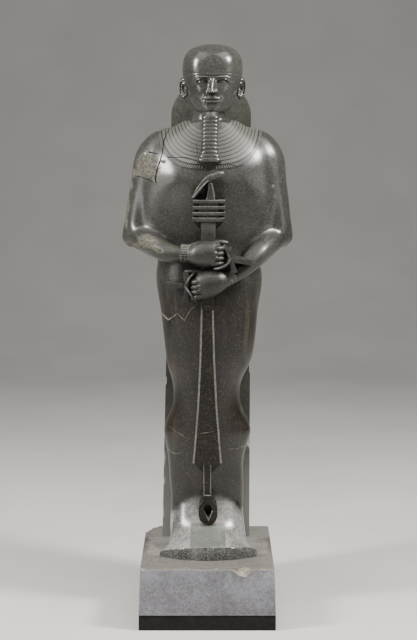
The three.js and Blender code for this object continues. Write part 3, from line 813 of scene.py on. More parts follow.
def makeHead():
    print("head")
    stations = np.array(headStations, float)
    steps = np.hypot(np.diff(stations[:, 0]), np.diff(stations[:, 1]))
    knots = np.concatenate([[0], np.cumsum(steps)])
    at = np.linspace(0, knots[-1], head["rows"])
    heights, half, front, back, power = (spline(knots, stations[:, column], at) for column in range(5))
    share = np.arange(head["columns"]) / head["columns"] * 2 - 1
    turn = math.pi * (0.45 * share + 0.55 * share**3)
    rings = []
    for row in range(len(at)):
        across = signedPower(np.sin(turn), 2 / power[row])
        deep = signedPower(-np.cos(turn), 2 / power[row])
        reach = np.where(deep < 0, head["middleY"] - front[row], back[row] - head["middleY"])
        x = half[row] * across
        facing = np.clip(-deep, 0, 1)
        z = np.full_like(x, heights[row])
        y = head["middleY"] + deep * reach - faceRelief(x, z) * facing**1.4 * smooth(215, 190, z)
        # cap edge: level across the brow, down before the ears, and level again at the nape
        around = np.degrees(np.arctan2(np.abs(x), -(y - head["middleY"])))
        edge = head["cap"] - 3 * smooth(20, 60, around)
        edge = edge - 76 * smooth(64, 76, around) - 10 * smooth(95, 150, around)
        step = smooth(edge - 1.2, edge + 1.2, z) * smooth(242, 225, z)
        line = -1.1 * bump(z, edge + 7, 1.3) * (1 - smooth(60, 68, around))
        grown = 1 + (2.0 * step + line) / 100
        x = x * grown
        y = head["middleY"] + (y - head["middleY"]) * grown
        rings.append(np.stack([x + head["shiftX"], y, z + head["chin"]], -1))
    return thin(loft("head", rings), head["triangles"])


# Ear: a rimmed plate that stands a little off the head
ear = {
    "y": 12,
    "z": 90,
    "out": 99,
    "flare": 58,
    "high": 39,
    "wide": 19,
    "thick": 14,
    "tilt": 0.2,
    "steps": 40,
    "sides": 96,
    "triangles": 7000,
}


def makeEar(side):
    angle = circle(ear["sides"])
    up, backward = np.sin(angle), np.cos(angle)
    narrow = np.where(up < -0.45, 1 - 0.35 * smooth(-0.45, -1, up), 1)
    wide = ear["wide"] * (1.0 + 0.12 * up) * narrow
    flare = math.radians(ear["flare"])
    layers = (("back", np.linspace(0.02, 1, 12)), ("front", np.linspace(1, 0.02, ear["steps"])))
    rings = []
    for layer, radii in layers:
        for radius in radii:
            a = backward * radius * wide + 3 * np.clip(up, 0, 1) * radius
            b = up * radius * ear["high"]
            if layer == "back":
                lift = -ear["thick"] * (1 - radius**2) * 0.5 - 3
            else:
                rim = 6.0 * bump(radius, 0.78, 0.2) * smooth(-0.75, -0.35, up)
                rimFront = 4.0 * bump(radius, 0.8, 0.2) * smooth(0.2, 0.8, -backward) * bump(up, 0.1, 0.5)
                groove = -2.0 * bump(radius, 0.6, 0.09) * smooth(-0.5, -0.1, up)
                ridge = 4.0 * bump(radius, 0.42, 0.14) * smooth(-0.5, 0.0, backward + 0.3)
                bowl = -6.0 * bump(radius, 0.0, 0.40)
                lobe = 6.5 * bump(b, -28, 10) * bump(a, 0, 11)
                lift = rim + rimFront + groove + ridge + bowl + lobe
            lift = lift * np.ones_like(a)
            x = ear["out"] + a * math.sin(flare) + lift * math.cos(flare)
            y = ear["y"] + a * math.cos(flare) - lift * math.sin(flare) + b * ear["tilt"]
            z = head["chin"] + ear["z"] + b
            rings.append(np.stack([side * x + head["shiftX"], y, z], -1))
    return thin(loft("ear", rings), ear["triangles"])


# Straight beard with level ridges that widens to its flat foot
beard = {"top": 1548, "foot": 1394, "ridges": 12, "perRidge": 8, "sides": 64}


def makeBeard():
    print("beard")
    rows = beard["ridges"] * beard["perRidge"]
    rings = []
    for row in range(rows + 1):
        share = row / rows
        flare = float(smooth(0.72, 1, share))
        ridge = abs(math.sin(share * beard["ridges"] * math.pi)) ** 0.55
        cut = 2.3 * (1 - ridge) * (0 if row in (0, rows) else 1)
        half = 32.5 - 2 * share + 13.5 * flare - cut
        front = -118 - 34 * share - 6 * flare + cut
        height = beard["top"] + (beard["foot"] - beard["top"]) * share
        back, middle = -40 - 56 * share, -80 - 40 * share
        rings.append(levelRing(height, half, front, back, 0, middle, 3.0, beard["sides"]))
    whole = loft("beard", rings)
    throat = loft("throat", [
        levelRing(head["chin"] + 8, 29, -104, -20, 0, -60, 2.4, 48),
        levelRing(beard["top"] - 6, 31, -119, -20, 0, -60, 2.6, 48),
    ])
    foot = beard["foot"]
    prop = taperedBar("beardProp", [(foot + 2, 36, -150), (foot - 34, 4, -134)], -90, 1)
    return combine(combine(whole, throat), finishAs(prop, "deepShade"))


# Sceptre: column sign, animal-headed staff, shaft with raised edges, and the fork at its foot
sceptre = {
    "centre": 2,
    "thick": 50,
    "signFoot": 1190,
    "signTop": 1264,
    "signHalf": 56,
    "coreHalf": 30,
    "signFront": -186,
    "bars": 4,
    "bevel": 1.6,
    "chamfer": 4.5,
}
# height, half width, how far it stands out of the legs
shaftStations = [(910, 19.7, 30), (692, 25.6, 33), (533, 33.5, 36), (405, 43.5, 40), (329, 50, 42)]


def paintHighlightWhere(piece, chosen):  # faces painted paler as a highlight, chosen by the way they face
    pale = finishes.index("paintedHighlight")
    for face in piece.data.polygons:
        if chosen(face.normal):
            face.material_index = pale
    return piece


def onFrontEdge(normal):  # the edge between the front and a side, where a highlight is painted
    return abs(normal.x) > 0.25 and normal.y < -0.25


def makeColumnSign():
    foot, top, centre = sceptre["signFoot"], sceptre["signTop"], sceptre["centre"]
    half, core, front = sceptre["signHalf"], sceptre["coreHalf"], sceptre["signFront"]
    pitch = (top - foot) / (sceptre["bars"] - 0.45)
    back = front + sceptre["thick"] + 30

    def part(name, start, end, bevel=0, middle=centre):  # each end: height, half width, front
        return taperedBar(name, [start, end], back, middle, bevel)

    sign = part("signCore", (foot - 26, core - 4, front + 8), (top, core, front + 4.5), sceptre["bevel"])
    for bar in range(sceptre["bars"]):
        low = foot + bar * pitch
        high = low + pitch * (0.5 if bar else 0.62)
        plate = part("signBar", (low, half, front), (high, half, front), sceptre["bevel"])
        # the up-facing faces of each bar are painted paler, a painted highlight
        combine(sign, paintHighlightWhere(plate, lambda normal: normal.z > 0.35))
    for side in (-1, 1):  # fine uprights beside the core
        start, end = (foot, 2, front + 2.5), (top - 4, 2, front + 2.5)
        combine(sign, part("upright", start, end, middle=centre + side * core))
    under = part("signUnder", (foot - 30, core - 4, front + 40), (foot + 1, half - 2, front + 7))
    behind = part("signBehind", (foot, half - 3, front + 16), (top - 2, half - 3, front + 16))
    return combine(combine(sign, finishAs(under, "deepShade")), finishAs(behind, "deepShade"))


# Staff head and fork, each outline as seen from the front
staffSnout = [
    (-57, 1270), (-46, 1272), (-26, 1296), (-8, 1322), (8, 1328), (16, 1342), (8, 1354), (-10, 1343),
    (-30, 1321), (-46, 1296),
]
staffLip = [
    ((-53, -184, 1272), 2.2, 3), ((-34, -187, 1296), 2.6, 4), ((-16, -187, 1316), 2.6, 4),
    ((-2, -184, 1330), 2.2, 3),
]
staffEar = [
    ((2, -168, 1334), 7, 9), ((14, -176, 1341), 12, 12), ((34, -176, 1350), 11.5, 11),
    ((47, -172, 1353), 9, 8),
]
staffNeck = [(-10, 1255), (24, 1255), (20, 1290), (12, 1318), (6, 1328), (-2, 1328), (-2, 1300)]
forkRing = [
    (-14, 214), (-16, 198), (-27, 178), (-31.5, 158), (-31, 138), (-26, 120), (-12, 109), (6, 106),
    (22, 110), (32, 122), (36.5, 140), (36, 158), (31, 178), (17, 198), (15, 214),
]
forkRim = [(-12, 156), (5, 118), (20, 156), (15, 160), (5, 136), (-7, 160)]
forkHole = [(5, 131), (13, 148), (17, 162), (13, 175), (3, 181), (-7, 176), (-13.5, 163), (-7, 148)]


def makeStaffHead():
    whole = frontPlate("staffSnout", staffSnout, -186, -100, 3.0)
    # the snout's up-front faces, the lip line and the neck's front edges are painted paler, a painted
    # highlight
    paintHighlightWhere(whole, lambda normal: normal.z > 0.2 and normal.y < -0.3)
    combine(whole, finishAs(limb("staffLip", staffLip, 16, 8), "paintedHighlight"))
    combine(whole, limb("staffEar", staffEar, 24, 8))
    return combine(whole, paintHighlightWhere(frontPlate("staffNeck", staffNeck, -178, -100, 4.0), onFrontEdge))


def makeLowerSceptre():
    rodStations = [(880, 21, -150), (1010, 23, -165), (1190, 25, -182)]
    rod = taperedBar("rod", rodStations, -90, sceptre["centre"], 4)
    stations = [(z, half, trunkFrontAt(z) - stand) for z, half, stand in shaftStations]
    # the shaft's two front edges are broad chamfers, painted paler as a highlight
    rings = []
    chamfer = sceptre["chamfer"]
    for z, half, front in stations:
        rings.append([  # x is across from the middle of the shaft
            (-half - 2, front + chamfer * 1.5, z), (-half - 1, front + chamfer, z),
            (-half + chamfer, front, z), (half - chamfer, front, z),
            (half + 1, front + chamfer, z), (half + 2, front + chamfer * 1.5, z),
            (half + 4, -30, z), (-half - 4, -30, z),
        ])
    shaft = paintHighlightWhere(loft("shaft", rings), lambda normal: normal.y < -0.3 and abs(normal.x) > 0.3)
    low, half, front = stations[-1]
    taper = taperedBar("shaftFoot", [(low + 1, half - 1, front + 5), (low - 44, 13, front + 36)], -20, 1)
    finishAs(taper, "deepShade")
    stem = taperedBar("forkStem", [(low, 14.5, -90), (196, 13.5, -84)], -20, 0, 3.5)
    # the stem's front edges are painted paler, a painted highlight
    paintHighlightWhere(stem, onFrontEdge)
    ring = frontPlate("fork", forkRing, -96, -20, 3)
    # the ring's up-front faces and the rim are painted paler as a highlight
    paintHighlightWhere(ring, lambda normal: normal.z > 0.3 and normal.y < -0.25)
    combine(ring, finishAs(frontPlate("forkRim", forkRim, -99, -60, 0.8), "paintedHighlight"))
    combine(ring, finishAs(frontPlate("forkHole", forkHole, -120, -62), "deepShade"), "DIFFERENCE")
    for part in (shaft, taper, stem, ring):
        combine(rod, part)
    plain, dull = finishes.index("stone"), finishes.index("sceptreStone")
    for face in rod.data.polygons:
        if face.material_index == plain:
            face.material_index = dull
    return rod


# Cracks: points are across from the middle and above the base top, as seen from the front
cracks = [  # name, finish, width, depth, points
    ("main fracture", "darkCrack", 4.6, 12,
     [(-136, 1500), (-150, 1465), (-154, 1431), (-156, 1413), (-175, 1361), (-179, 1327), (-175, 1306)]),
    ("upper branch", "darkCrack", 3.2, 8, [(-157, 1417), (-192, 1422), (-217, 1424), (-206, 1451)]),
    ("lower branch", "darkCrack", 3, 6, [(-219, 1420), (-237, 1396)]),
    ("across the collar", "darkCrack", 2.6, 6, [(-153, 1414), (-129, 1406), (-73, 1406), (-35, 1397)]),
    ("right of the beard", "darkCrack", 2.2, 5, [(58, 1394), (79, 1383), (103, 1376), (141, 1378)]),
    ("under the fill", "darkCrack", 3.4, 8, [(-262, 1341), (-234, 1339), (-199, 1327), (-178, 1313)]),
    ("beside the beard", "darkCrack", 1.8, 3, [(-39, 1465), (-35, 1435), (-32, 1404)]),
    ("across the rod", "darkCrack", 2.2, 3, [(-13, 1142), (4, 1144), (26, 1143)]),
    ("above the fist", "darkCrack", 2.4, 5, [(-88, 1112), (-66, 1117), (-52, 1124), (-40, 1122)]),
    ("zigzag", "paleCrack", 3.2, 2,
     [(-170, 860), (-163, 855), (-140, 835), (-105, 864), (-81, 839), (-64, 871), (-53, 885), (-36, 899),
      (-22, 902)]),
    ("over the rod", "paleCrack", 3, 2, [(-20, 896), (16, 893), (22, 880)]),
    ("over the shaft", "paleCrack", 2.6, 2, [(-38, 437), (-1, 443), (36, 451)]),
    ("left shin", "paleCrack", 1.8, 1.5, [(-147, 453), (-104, 431), (-62, 406)]),
    ("left ankle", "paleCrack", 2.2, 1.5, [(-154, 362), (-118, 350), (-83, 357)]),
    ("right calf", "paleCrack", 1.8, 1.5, [(63, 372), (102, 370), (148, 375)]),
]
crack = {"step": 5, "wander": 1.6, "outside": 6}


def makeCracks(stoneMass):
    print("cracks")
    tree = BVHTree.FromObject(stoneMass, bpy.context.evaluated_depsgraph_get())
    cutters = []
    for number, (name, finish, wide, deep, points) in enumerate(cracks):
        line = []
        for (x1, z1), (x2, z2) in zip(points, points[1:]):
            count = max(1, int(math.hypot(x2 - x1, z2 - z1) / crack["step"]))
            for step in range(count):
                share = step / count
                line.append((x1 + (x2 - x1) * share, z1 + (z2 - z1) * share))
        line.append(points[-1])
        rings = []
        for spot, (x, z) in enumerate(line):
            before, after = line[max(0, spot - 1)], line[min(len(line) - 1, spot + 1)]
            way = Vector((after[0] - before[0], after[1] - before[1])).normalized()
            side = Vector((-way.y, way.x))
            turn = crack["wander"] * noise.noise(Vector((spot * 0.45, number * 3.3, 0.5)))
            x, z = x + side.x * turn, z + side.y * turn
            fade = min(1, (spot + 0.4) / 4, (len(line) - spot - 0.6) / 4)
            half = wide / 2 * fade * (0.8 + 0.5 * noise.noise(Vector((spot * 0.7, number * 1.7, 4))))
            hit = tree.ray_cast(Vector((x * mm, -1, (z + baseTop) * mm)), Vector((0, 1, 0)))[0]
            y = hit.y / mm if hit else (rings[-1][1][1] if rings else 0)
            flare = (half * (1 + crack["outside"] / deep), y - crack["outside"])
            rings.append([
                (x + side.x * flare[0], flare[1], z + side.y * flare[0] + baseTop),
                (x, y + deep * fade, z + baseTop),
                (x - side.x * flare[0], flare[1], z - side.y * flare[0] + baseTop),
            ])
        cutters.append(finishAs(loft(name, np.array(rings) * mm, ready=True), finish))
    # three branches touch other cracks, so they are cut first and the others after them
    touching = ("upper branch", "across the collar", "under the fill")
    branches = [cutter for cutter in cutters if cutter.name in touching]
    others = [cutter for cutter in cutters if cutter.name not in touching]
    for group in (branches, others):
        combine(stoneMass, together(group), "DIFFERENCE")


def makeStatue():
    soft = makeBody()
    giveSlots(soft.data)
    bands = makeCollar(soft)
    print("arms and hands")
    pieces = [
        makeFist(arms["left"], 1),
        makeFist(arms["right"], -1),
        makeBracelet(arms["left"]),
        makeBracelet(arms["right"]),
        makeLifeSign(lifeSigns[0]),
        makeLifeSign(lifeSigns[1]),
        makeHead(),
        makeEar(-1),
        makeEar(1),
        makeBeard(),
        makeColumnSign(),
        makeStaffHead(),
        makeLowerSceptre(),
        makePillar(),
        makeBase(),
        *bands,
    ]
    print("joining the stone")
    for piece in pieces:
        combine(soft, piece)
    makeCracks(soft)
    return soft


statue = makeStatue()
print("triangles", sum(len(face.vertices) - 2 for face in statue.data.polygons))


# Footing slab: near-black, with rounded corners
footing = {"corner": 18, "edge": 2}


def makeSlab():
    print("footing slab")
    size = slabHigh - slabLow
    slab = solidBlock("darkSlab", (slabLow + slabHigh) / 2, size)
    bpy.ops.object.mode_set(mode="EDIT")
    form = bmesh.from_edit_mesh(slab.data)
    for edge in form.edges:
        edge.select = abs(edge.verts[0].co.z - edge.verts[1].co.z) > size.z / 2
    bmesh.update_edit_mesh(slab.data)
    bpy.ops.mesh.bevel(offset=footing["corner"] * mm, segments=8, affect="EDGES")
    bpy.ops.object.mode_set(mode="OBJECT")
    return bevelEdges(slab, footing["edge"], 0.9)


slab = makeSlab()
statue.name = "carvedStone"
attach(statue, "root")
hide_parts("statue")
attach(slab, "root")
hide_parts("footing_slab")

for piece in (statue, slab):
    makeActive(piece)
    bpy.ops.object.shade_smooth_by_angle(angle=math.radians(35))


# Materials: an expression on wires adds its own maths nodes
class Wire:
    def __init__(self, shader, socket):
        self.shader, self.socket = shader, socket

    def maths(self, how, other, swapped=False):
        pair = (other, self) if swapped else (self, other)
        return self.shader.node("ShaderNodeMath", {"operation": how}, {0: pair[0], 1: pair[1]})

    def __add__(self, other):
        return self.maths("ADD", other)

    def __radd__(self, other):
        return self.maths("ADD", other, True)

    def __sub__(self, other):
        return self.maths("SUBTRACT", other)

    def __rsub__(self, other):
        return self.maths("SUBTRACT", other, True)

    def __mul__(self, other):
        return self.maths("MULTIPLY", other)

    def __rmul__(self, other):
        return self.maths("MULTIPLY", other, True)

    def __truediv__(self, other):
        return self.maths("DIVIDE", other)

    def over(self, other):
        return self.maths("MAXIMUM", other)

    def size(self):
        return self.shader.node("ShaderNodeMath", {"operation": "ABSOLUTE"}, {0: self})

    def rise(self, low, high):  # 0 below low, 1 above high
        return self.shader.node(
            "ShaderNodeMapRange",
            {"interpolation_type": "SMOOTHSTEP"},
            {"Value": self, "From Min": low, "From Max": high},
        )


class Shader:
    def __init__(self, name):
        self.material = bpy.data.materials.new(name)
        self.material.use_nodes = True
        self.tree = self.material.node_tree
        self.tree.nodes.clear()
        self.count = 0

    def node(self, kind, settings=None, inputs=None, output=0):
        made = self.tree.nodes.new(kind)
        made.location = (self.count % 12 * 190, -(self.count // 12) * 260)
        self.count += 1
        for key, value in (settings or {}).items():
            setattr(made, key, value)
        for key, value in (inputs or {}).items():
            if isinstance(value, Wire):
                self.tree.links.new(value.socket, made.inputs[key])
            else:
                made.inputs[key].default_value = value
        return Wire(self, made.outputs[output]) if made.outputs else made

    def place(self):
        return self.node("ShaderNodeTexCoord", output="Object")

    def axes(self, place):
        parts = self.node("ShaderNodeSeparateXYZ", inputs={0: place})
        made = parts.socket.node
        return [Wire(self, made.outputs[axis]) for axis in range(3)]

    def stretched(self, place, scales):
        return self.node("ShaderNodeVectorMath", {"operation": "MULTIPLY"}, {0: place, 1: scales})

    def cloud(self, place, scale, detail=3.0, rough=0.55):
        return self.node(
            "ShaderNodeTexNoise", {"noise_dimensions": "3D"},
            {"Vector": place, "Scale": scale, "Detail": detail, "Roughness": rough},
        )

    def grains(self, place, scale):
        return self.node(
            "ShaderNodeTexVoronoi", {"feature": "F1"}, {"Vector": place, "Scale": scale}, "Distance")

    def blend(self, share, *colours):  # a name stands for one of the stone's colours
        first, second = (stone[tone] if isinstance(tone, str) else tone for tone in colours)
        return self.node(
            "ShaderNodeMix", {"data_type": "RGBA"}, {"Factor": share, 6: first, 7: second}, 2)

    def spots(self, x, z, ovals, ragged):  # 1 inside any of the ragged ovals seen from the front
        total = None
        for middleX, middleZ, halfX, halfZ in ovals:
            across = (x - middleX * mm) / (halfX * mm)
            up = (z - (middleZ + baseTop) * mm) / (halfZ * mm)
            inside = 1 - (across * across + up * up + ragged).rise(0.55, 1.35)
            total = inside if total is None else total.over(inside)
        return total

    def finish(self, colour, roughness, height, bumpDistance, bumpStrength=0.5, specular=0.5):
        lifted = self.node(
            "ShaderNodeBump", {},
            {"Height": height, "Distance": bumpDistance, "Strength": bumpStrength}, "Normal",
        )
        look = {"Base Color": colour, "Roughness": roughness}
        look |= {"Normal": lifted, "Specular IOR Level": specular}
        made = self.node("ShaderNodeBsdfPrincipled", {}, look)
        self.node("ShaderNodeOutputMaterial", {}, {"Surface": made})
        return self.material


def colour(red, green, blue):
    return (red, green, blue, 1.0)


stone = {
    "dark": colour(0.020, 0.0202, 0.0183),
    "middle": colour(0.047, 0.0465, 0.042),
    "fleck": colour(0.24, 0.225, 0.185),
    "legs": colour(0.0045, 0.0036, 0.0028),
    "legsLight": colour(0.012, 0.0092, 0.0070),
    "legsFleck": colour(0.16, 0.145, 0.11),
    "rust": colour(0.024, 0.012, 0.006),
    "olive": colour(0.036, 0.031, 0.018),
    "matt": colour(0.016, 0.0155, 0.013),
    "mattLight": colour(0.052, 0.050, 0.041),
    "paleGrey": colour(0.29, 0.285, 0.27),
    "paleGreyDark": colour(0.070, 0.071, 0.065),
    "field": colour(0.085, 0.090, 0.077),
    "tan": colour(0.25, 0.217, 0.190),
    "tanDark": colour(0.12, 0.105, 0.088),
    "blueGrey": colour(0.222, 0.218, 0.243),
    "blueDark": colour(0.126, 0.123, 0.136),
    "white": colour(0.55, 0.55, 0.54),
    "fill": colour(0.125, 0.115, 0.088),
    "fillDark": colour(0.026, 0.023, 0.017),
    # pale tone of the painted highlights on edges and tops, also mixed into the collar bands as a painted
    # sheen
    "edge": colour(0.15, 0.145, 0.13),
    "edgeDark": colour(0.045, 0.042, 0.036),
    "shade": colour(0.012, 0.009, 0.0075),
    "shadeDark": colour(0.020, 0.016, 0.014),
    "crack": colour(0.008, 0.007, 0.006),
    "crackDark": colour(0.02, 0.018, 0.014),
    "mortar": colour(0.27, 0.25, 0.20),
    "mortarDark": colour(0.12, 0.105, 0.08),
    "fresh": colour(0.32, 0.30, 0.24),
    "freshDark": colour(0.17, 0.155, 0.12),
    "slab": colour(0.0062, 0.0050, 0.0047),
    "slabLight": colour(0.0135, 0.0105, 0.0098),
}
fills = [  # rough beige patches: across, above the base top, half width, half height
    (-207, 1378, 40, 42), (-180, 1338, 12, 24), (-250, 1350, 22, 18), (-205, 1432, 10, 12),
    (-279, 1255, 7, 60), (-284, 1190, 6, 36), (-208, 1118, 38, 24), (-258, 1098, 28, 13),
    (-165, 1090, 20, 10), (-268, 1310, 8, 24), (229, 1306, 6, 6), (236, 1270, 4, 4), (-150, 1392, 9, 6),
]
fadedFlecks = [(148, 241, 8, 10), (-141, 520, 5, 9), (128, 512, 8, 13), (140, 600, 5, 8)]


def stoneMaterial(name, kind="body"):
    shader = Shader(name)
    place = shader.place()
    x, y, z = shader.axes(place)
    above = z - baseTop * mm
    fine = shader.cloud(place, 330, 1.5, 0.6)
    medium = shader.cloud(place, 120, 3)
    large = shader.cloud(place, 9, 4)
    upright = shader.cloud(shader.stretched(place, (38, 38, 3.2)), 1, 4)
    tiny = shader.grains(place, 200)
    light = fine.rise(0.54, 0.74)
    dots = (0.36 - tiny).rise(0.06, 0.2)
    speck = shader.cloud(place, 270, 1, 0.6).rise(0.58, 0.70)
    # polished green-black stone of the figure
    figure = shader.blend((medium * 0.4 + large * 0.6).rise(0.32, 0.68), "dark", "middle")
    figure = shader.blend(light * 0.30 + dots * 0.10, figure, "fleck")
    # duller brown-black legs with upright brown and olive tints
    legs = shader.blend((medium * 0.6 + large * 0.4).rise(0.38, 0.66), "legs", "legsLight")
    legs = shader.blend(upright.rise(0.52, 0.68) * 0.5, legs, "rust")
    rim = (x.size() + (upright - 0.5) * 0.09).rise(0.112, 0.145)
    legs = shader.blend(rim * upright.rise(0.46, 0.62) * 0.6, legs, "olive")
    legs = shader.blend(speck * 0.40 + dots * 0.03, legs, "legsFleck")
    if kind == "sceptre":
        isUpper = (above + (large - 0.5) * 0.1).rise(0.90, 1.0)
        skin = shader.blend(isUpper, legs, figure)
        return shader.finish(skin, 0.42 + medium * 0.1, fine, 0.0004, 0.35, 0.28)
    isLegs = 1 - (above + (large - 0.5) * 0.12).rise(0.88, 1.02)
    skin = shader.blend(isLegs, figure, legs)
    # the feet are paler up to the top of the instep, with a darker green field in the middle
    paleMottle = (fine * 0.3 + medium * 0.25 + large * 0.45).rise(0.42, 0.60)
    paleGrey = shader.blend(paleMottle, "paleGrey", "paleGreyDark")
    field = (1 - (x - 0.0025).size().rise(0.060, 0.064)) * (1 - (above - 0.075).size().rise(0.028, 0.038))
    paleGrey = shader.blend(field * 0.85, paleGrey, "field")
    paleGrey = shader.blend(dots * 0.25 + light * 0.2, paleGrey, "white")
    isFeet = 1 - (above + x * x * 4.0 + (large - 0.5) * 0.03).rise(0.172, 0.215)
    skin = shader.blend(isFeet, skin, paleGrey)
    toe = shader.blend(medium.rise(0.34, 0.62), "paleGreyDark", "middle")
    toe = shader.blend(dots * 0.35 + light * 0.5, toe, "white")
    isToe = (1 - (y - x * x * 2.15).rise(-0.190, -0.187)) * (1 - above.rise(0.058, 0.066))
    skin = shader.blend(isToe, skin, toe)
    onHands = (1 - (y + 0.15).rise(-0.01, 0.01)) * above.rise(0.88, 0.92) * (1 - above.rise(1.12, 1.16))
    skin = shader.blend(onHands * 0.55, skin, legs)
    # beige repairs and worn patches
    ragged = (shader.cloud(place, 42, 5, 0.75) - 0.5) * 3.4 + (medium - 0.5) * 3.2
    onFront = 1 - y.rise(0.02, 0.08)
    patch = shader.spots(x, z, fills, ragged) + (fine - 0.5) * 1.6 + (medium - 0.5)
    patch = patch.rise(0.42, 0.60) * onFront
    mottle = (medium * 0.6 + fine * 0.4).rise(0.40, 0.60)
    skin = shader.blend(patch * 0.9, skin, shader.blend(mottle, "fillDark", "fill"))
    flecks = shader.spots(x, z, fadedFlecks, ragged * 0.6) * onFront
    skin = shader.blend(flecks * 0.5, skin, "fill")
    # matt back pillar, paler towards its foot
    matt = shader.blend((medium * 0.6 + large * 0.4).rise(0.36, 0.66), "matt", "mattLight")
    matt = shader.blend(dots * 0.16 + light * 0.28, matt, "fleck")
    matt = shader.blend(rim * upright.rise(0.46, 0.60) * 0.5, matt, "olive")
    beside = above.rise(0.28, 0.42) * (1 - above.rise(0.90, 1.05))  # as dark beside the legs
    matt = shader.blend(beside * 0.35, matt, legs)
    matt = shader.blend((1 - (above + (large - 0.5) * 0.3).rise(0.02, 0.55)) * 0.5, matt, "paleGrey")
    onPillar = (y + (large - 0.5) * 0.01).rise(0.118, 0.128)
    skin = shader.blend(onPillar, skin, matt)
    # base: tan top, blue-grey sides with white specks and paler edges
    streak = shader.cloud(shader.stretched(place, (10, 70, 10)), 1, 4)
    top = shader.blend((streak * 0.5 + medium * 0.5).rise(0.36, 0.66), "tan", "tanDark")
    top = shader.blend(light * 0.3, top, "white")
    awayX, awayY = (x + 0.178) / 0.036, (y - 0.185) / 0.060
    scuffed = 1 - (awayX * awayX + awayY * awayY + ragged * 0.25).rise(0.7, 1.1)
    scuffed = scuffed.over(x.rise(0.17, 0.225) * streak.rise(0.42, 0.58) * 0.7)
    top = shader.blend(scuffed * 0.6, top, "fresh")
    side = shader.blend((medium * 0.5 + large * 0.5).rise(0.38, 0.64), "blueGrey", "blueDark")
    scattered = dots * shader.cloud(place, 45, 2).rise(0.50, 0.62)
    side = shader.blend(scattered * 0.8 + light * 0.15, side, "white")
    edges = (above + 0.006).rise(-0.004, 0.003).over((x.size() + above * 0.036).rise(0.2285, 0.2320) * 0.7)
    side = shader.blend(edges * (0.25 + medium.rise(0.4, 0.6) * 0.4), side, "fresh")
    isBase = 1 - above.rise(-0.002, 0.0015)
    block = shader.blend(above.rise(-0.0035, -0.001), side, top)
    skin = shader.blend(isBase, skin, block)
    # the collar bands are painted half-way to the pale edge tone, a painted sheen
    if kind == "incised":
        skin = shader.blend(0.5, skin, "edge")
    dull = onPillar.over(isBase).over(patch)
    polish = 0.20 + medium * 0.10 + isLegs * 0.08 - isFeet * 0.12
    polish = polish + onHands * 0.18 - above.rise(1.50, 1.60) * 0.04
    if kind == "incised":
        polish = polish + 0.05
    roughness = polish + (0.78 - polish) * dull
    height = fine * 0.5 + medium * 0.6 + patch * shader.cloud(place, 150, 4, 0.7) * 3
    return shader.finish(skin, roughness, height, 0.0005, 0.35)


def plainStone(name, tone, roughness):
    shader = Shader(name)
    place = shader.place()
    medium = shader.cloud(place, 160, 3)
    skin = shader.blend(medium.rise(0.35, 0.68), tone, tone + "Dark")
    return shader.finish(skin, roughness + medium * 0.05, medium, 0.0008, 0.5)


def slabMaterial():
    shader = Shader("blackSlabStone")
    place = shader.place()
    medium = shader.cloud(place, 60, 4)
    skin = shader.blend(medium.rise(0.35, 0.7), "slab", "slabLight")
    return shader.finish(skin, 0.5 + medium * 0.15, medium, 0.0003, 0.3, 0.18)


print("materials")
# the pale edge tone is the stone of the painted highlights
made = [stoneMaterial("greenBlackStone"), plainStone("paintedHighlightStone", "edge", 0.4),
        plainStone("darkCrackStone", "crack", 0.9), plainStone("paleCrackStone", "mortar", 0.8),
        plainStone("freshBreakStone", "fresh", 0.85), stoneMaterial("incisedStone", "incised"),
        plainStone("deepShadeStone", "shade", 0.6), stoneMaterial("sceptreStone", "sceptre")]
for number, material in enumerate(made):
    statue.data.materials[number] = material
slab.data.materials.clear()
slab.data.materials.append(slabMaterial())


# Studio: pale floor, soft boxes and the camera, in metres
studio = {
    "front": -4,
    "bendsAt": 5,
    "bend": 4,
    "bendSteps": 24,
    "top": 9,
    "half": 12,
    "aim": (0, 0, 1.35),
    "lightColour": (1.0, 0.985, 0.955),
    "airColour": colour(0.70, 0.70, 0.72),
    "airPower": 0.105,
}
# name, angle right of the front, angle above level, distance, width, height, power, seen in the polish
softBoxes = [
    ("leftBox", -66, 30, 3.4, 0.38, 1.25, 180, True),
    ("rightBox", 66, 40, 3.4, 0.56, 0.85, 215, True),
    ("leftHighBox", -54, 60, 3.2, 2.0, 1.9, 34, True),
    ("rightHighBox", 60, 58, 3.2, 2.0, 1.9, 60, True),
    ("leftLowBox", -62, 6, 3.4, 1.5, 1.3, 24, True),
    ("rightLowBox", 62, 6, 3.4, 1.5, 1.3, 13, True),
    ("frontBox", 0, 34, 6.0, 3.4, 1.6, 92, False),
    ("topBox", 0, 84, 3.0, 2.2, 1.2, 46, False),
]
photoView = {"lens": 84.375, "film": 36, "place": (0.0043, -5.298, 1.732), "down": 7.3318}


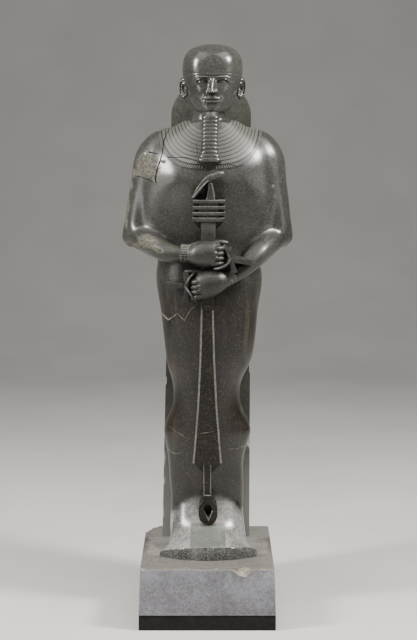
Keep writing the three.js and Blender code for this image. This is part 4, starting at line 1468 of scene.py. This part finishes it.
def makeFloor():
    print("studio")
    deselectAll()
    bendsAt, bend = studio["bendsAt"], studio["bend"]
    profile = [(studio["front"], 0), (bendsAt, 0)]  # y and height: flat, then swept up far behind
    for step in range(1, studio["bendSteps"] + 1):
        turn = step / studio["bendSteps"] * math.pi / 2
        profile.append((bendsAt + bend * math.sin(turn), bend - bend * math.cos(turn)))
    profile.append((bendsAt + bend, studio["top"]))
    points = [(x, y, z) for y, z in profile for x in (-studio["half"], studio["half"])]
    faces = [(spot, spot + 1, spot + 3, spot + 2) for spot in range(0, len(points) - 2, 2)]
    sweep = bpy.data.meshes.new("studioFloor")
    sweep.from_pydata(points, [], faces)
    floor = bpy.data.objects.new("studioFloor", sweep)
    bpy.context.collection.objects.link(floor)
    makeActive(floor)
    bpy.ops.object.shade_smooth_by_angle(angle=math.radians(35))
    shader = Shader("paleFloor")
    place = shader.place()
    tone = shader.cloud(place, 1.5, 2)
    skin = shader.blend(tone.rise(0.3, 0.7), colour(0.56, 0.55, 0.53), colour(0.60, 0.59, 0.57))
    floor.data.materials.append(shader.finish(skin, 0.9, tone, 0.001, 0.05))


def makeLights():
    for name, turn, lift, far, wide, high, power, mirrored in softBoxes:
        light = bpy.data.lights.new(name, "AREA")
        light.shape = "RECTANGLE"
        light.size, light.size_y, light.energy = wide, high, power
        light.color = studio["lightColour"]
        lamp = bpy.data.objects.new(name, light)
        lamp.visible_glossy = mirrored
        turn, lift = math.radians(turn), math.radians(lift)
        way = Vector((math.cos(lift) * math.sin(turn), -math.cos(lift) * math.cos(turn), math.sin(lift)))
        lamp.location = Vector(studio["aim"]) + way * far
        lamp.rotation_euler = way.to_track_quat("Z", "Y").to_euler()
        bpy.context.collection.objects.link(lamp)
    world = bpy.data.worlds.new("studioAir")
    world.use_nodes = True
    air = world.node_tree.nodes["Background"].inputs
    air[0].default_value = studio["airColour"]
    air[1].default_value = studio["airPower"]
    bpy.context.scene.world = world


def makeCamera():
    view = bpy.data.cameras.new("photoCamera")
    view.lens = photoView["lens"]
    view.sensor_width = photoView["film"]
    camera = bpy.data.objects.new("photoCamera", view)
    camera.location = photoView["place"]
    camera.rotation_euler = (math.radians(90 - photoView["down"]), 0, 0)
    bpy.context.collection.objects.link(camera)
    bpy.context.scene.camera = camera


makeFloor()
makeLights()
makeCamera()
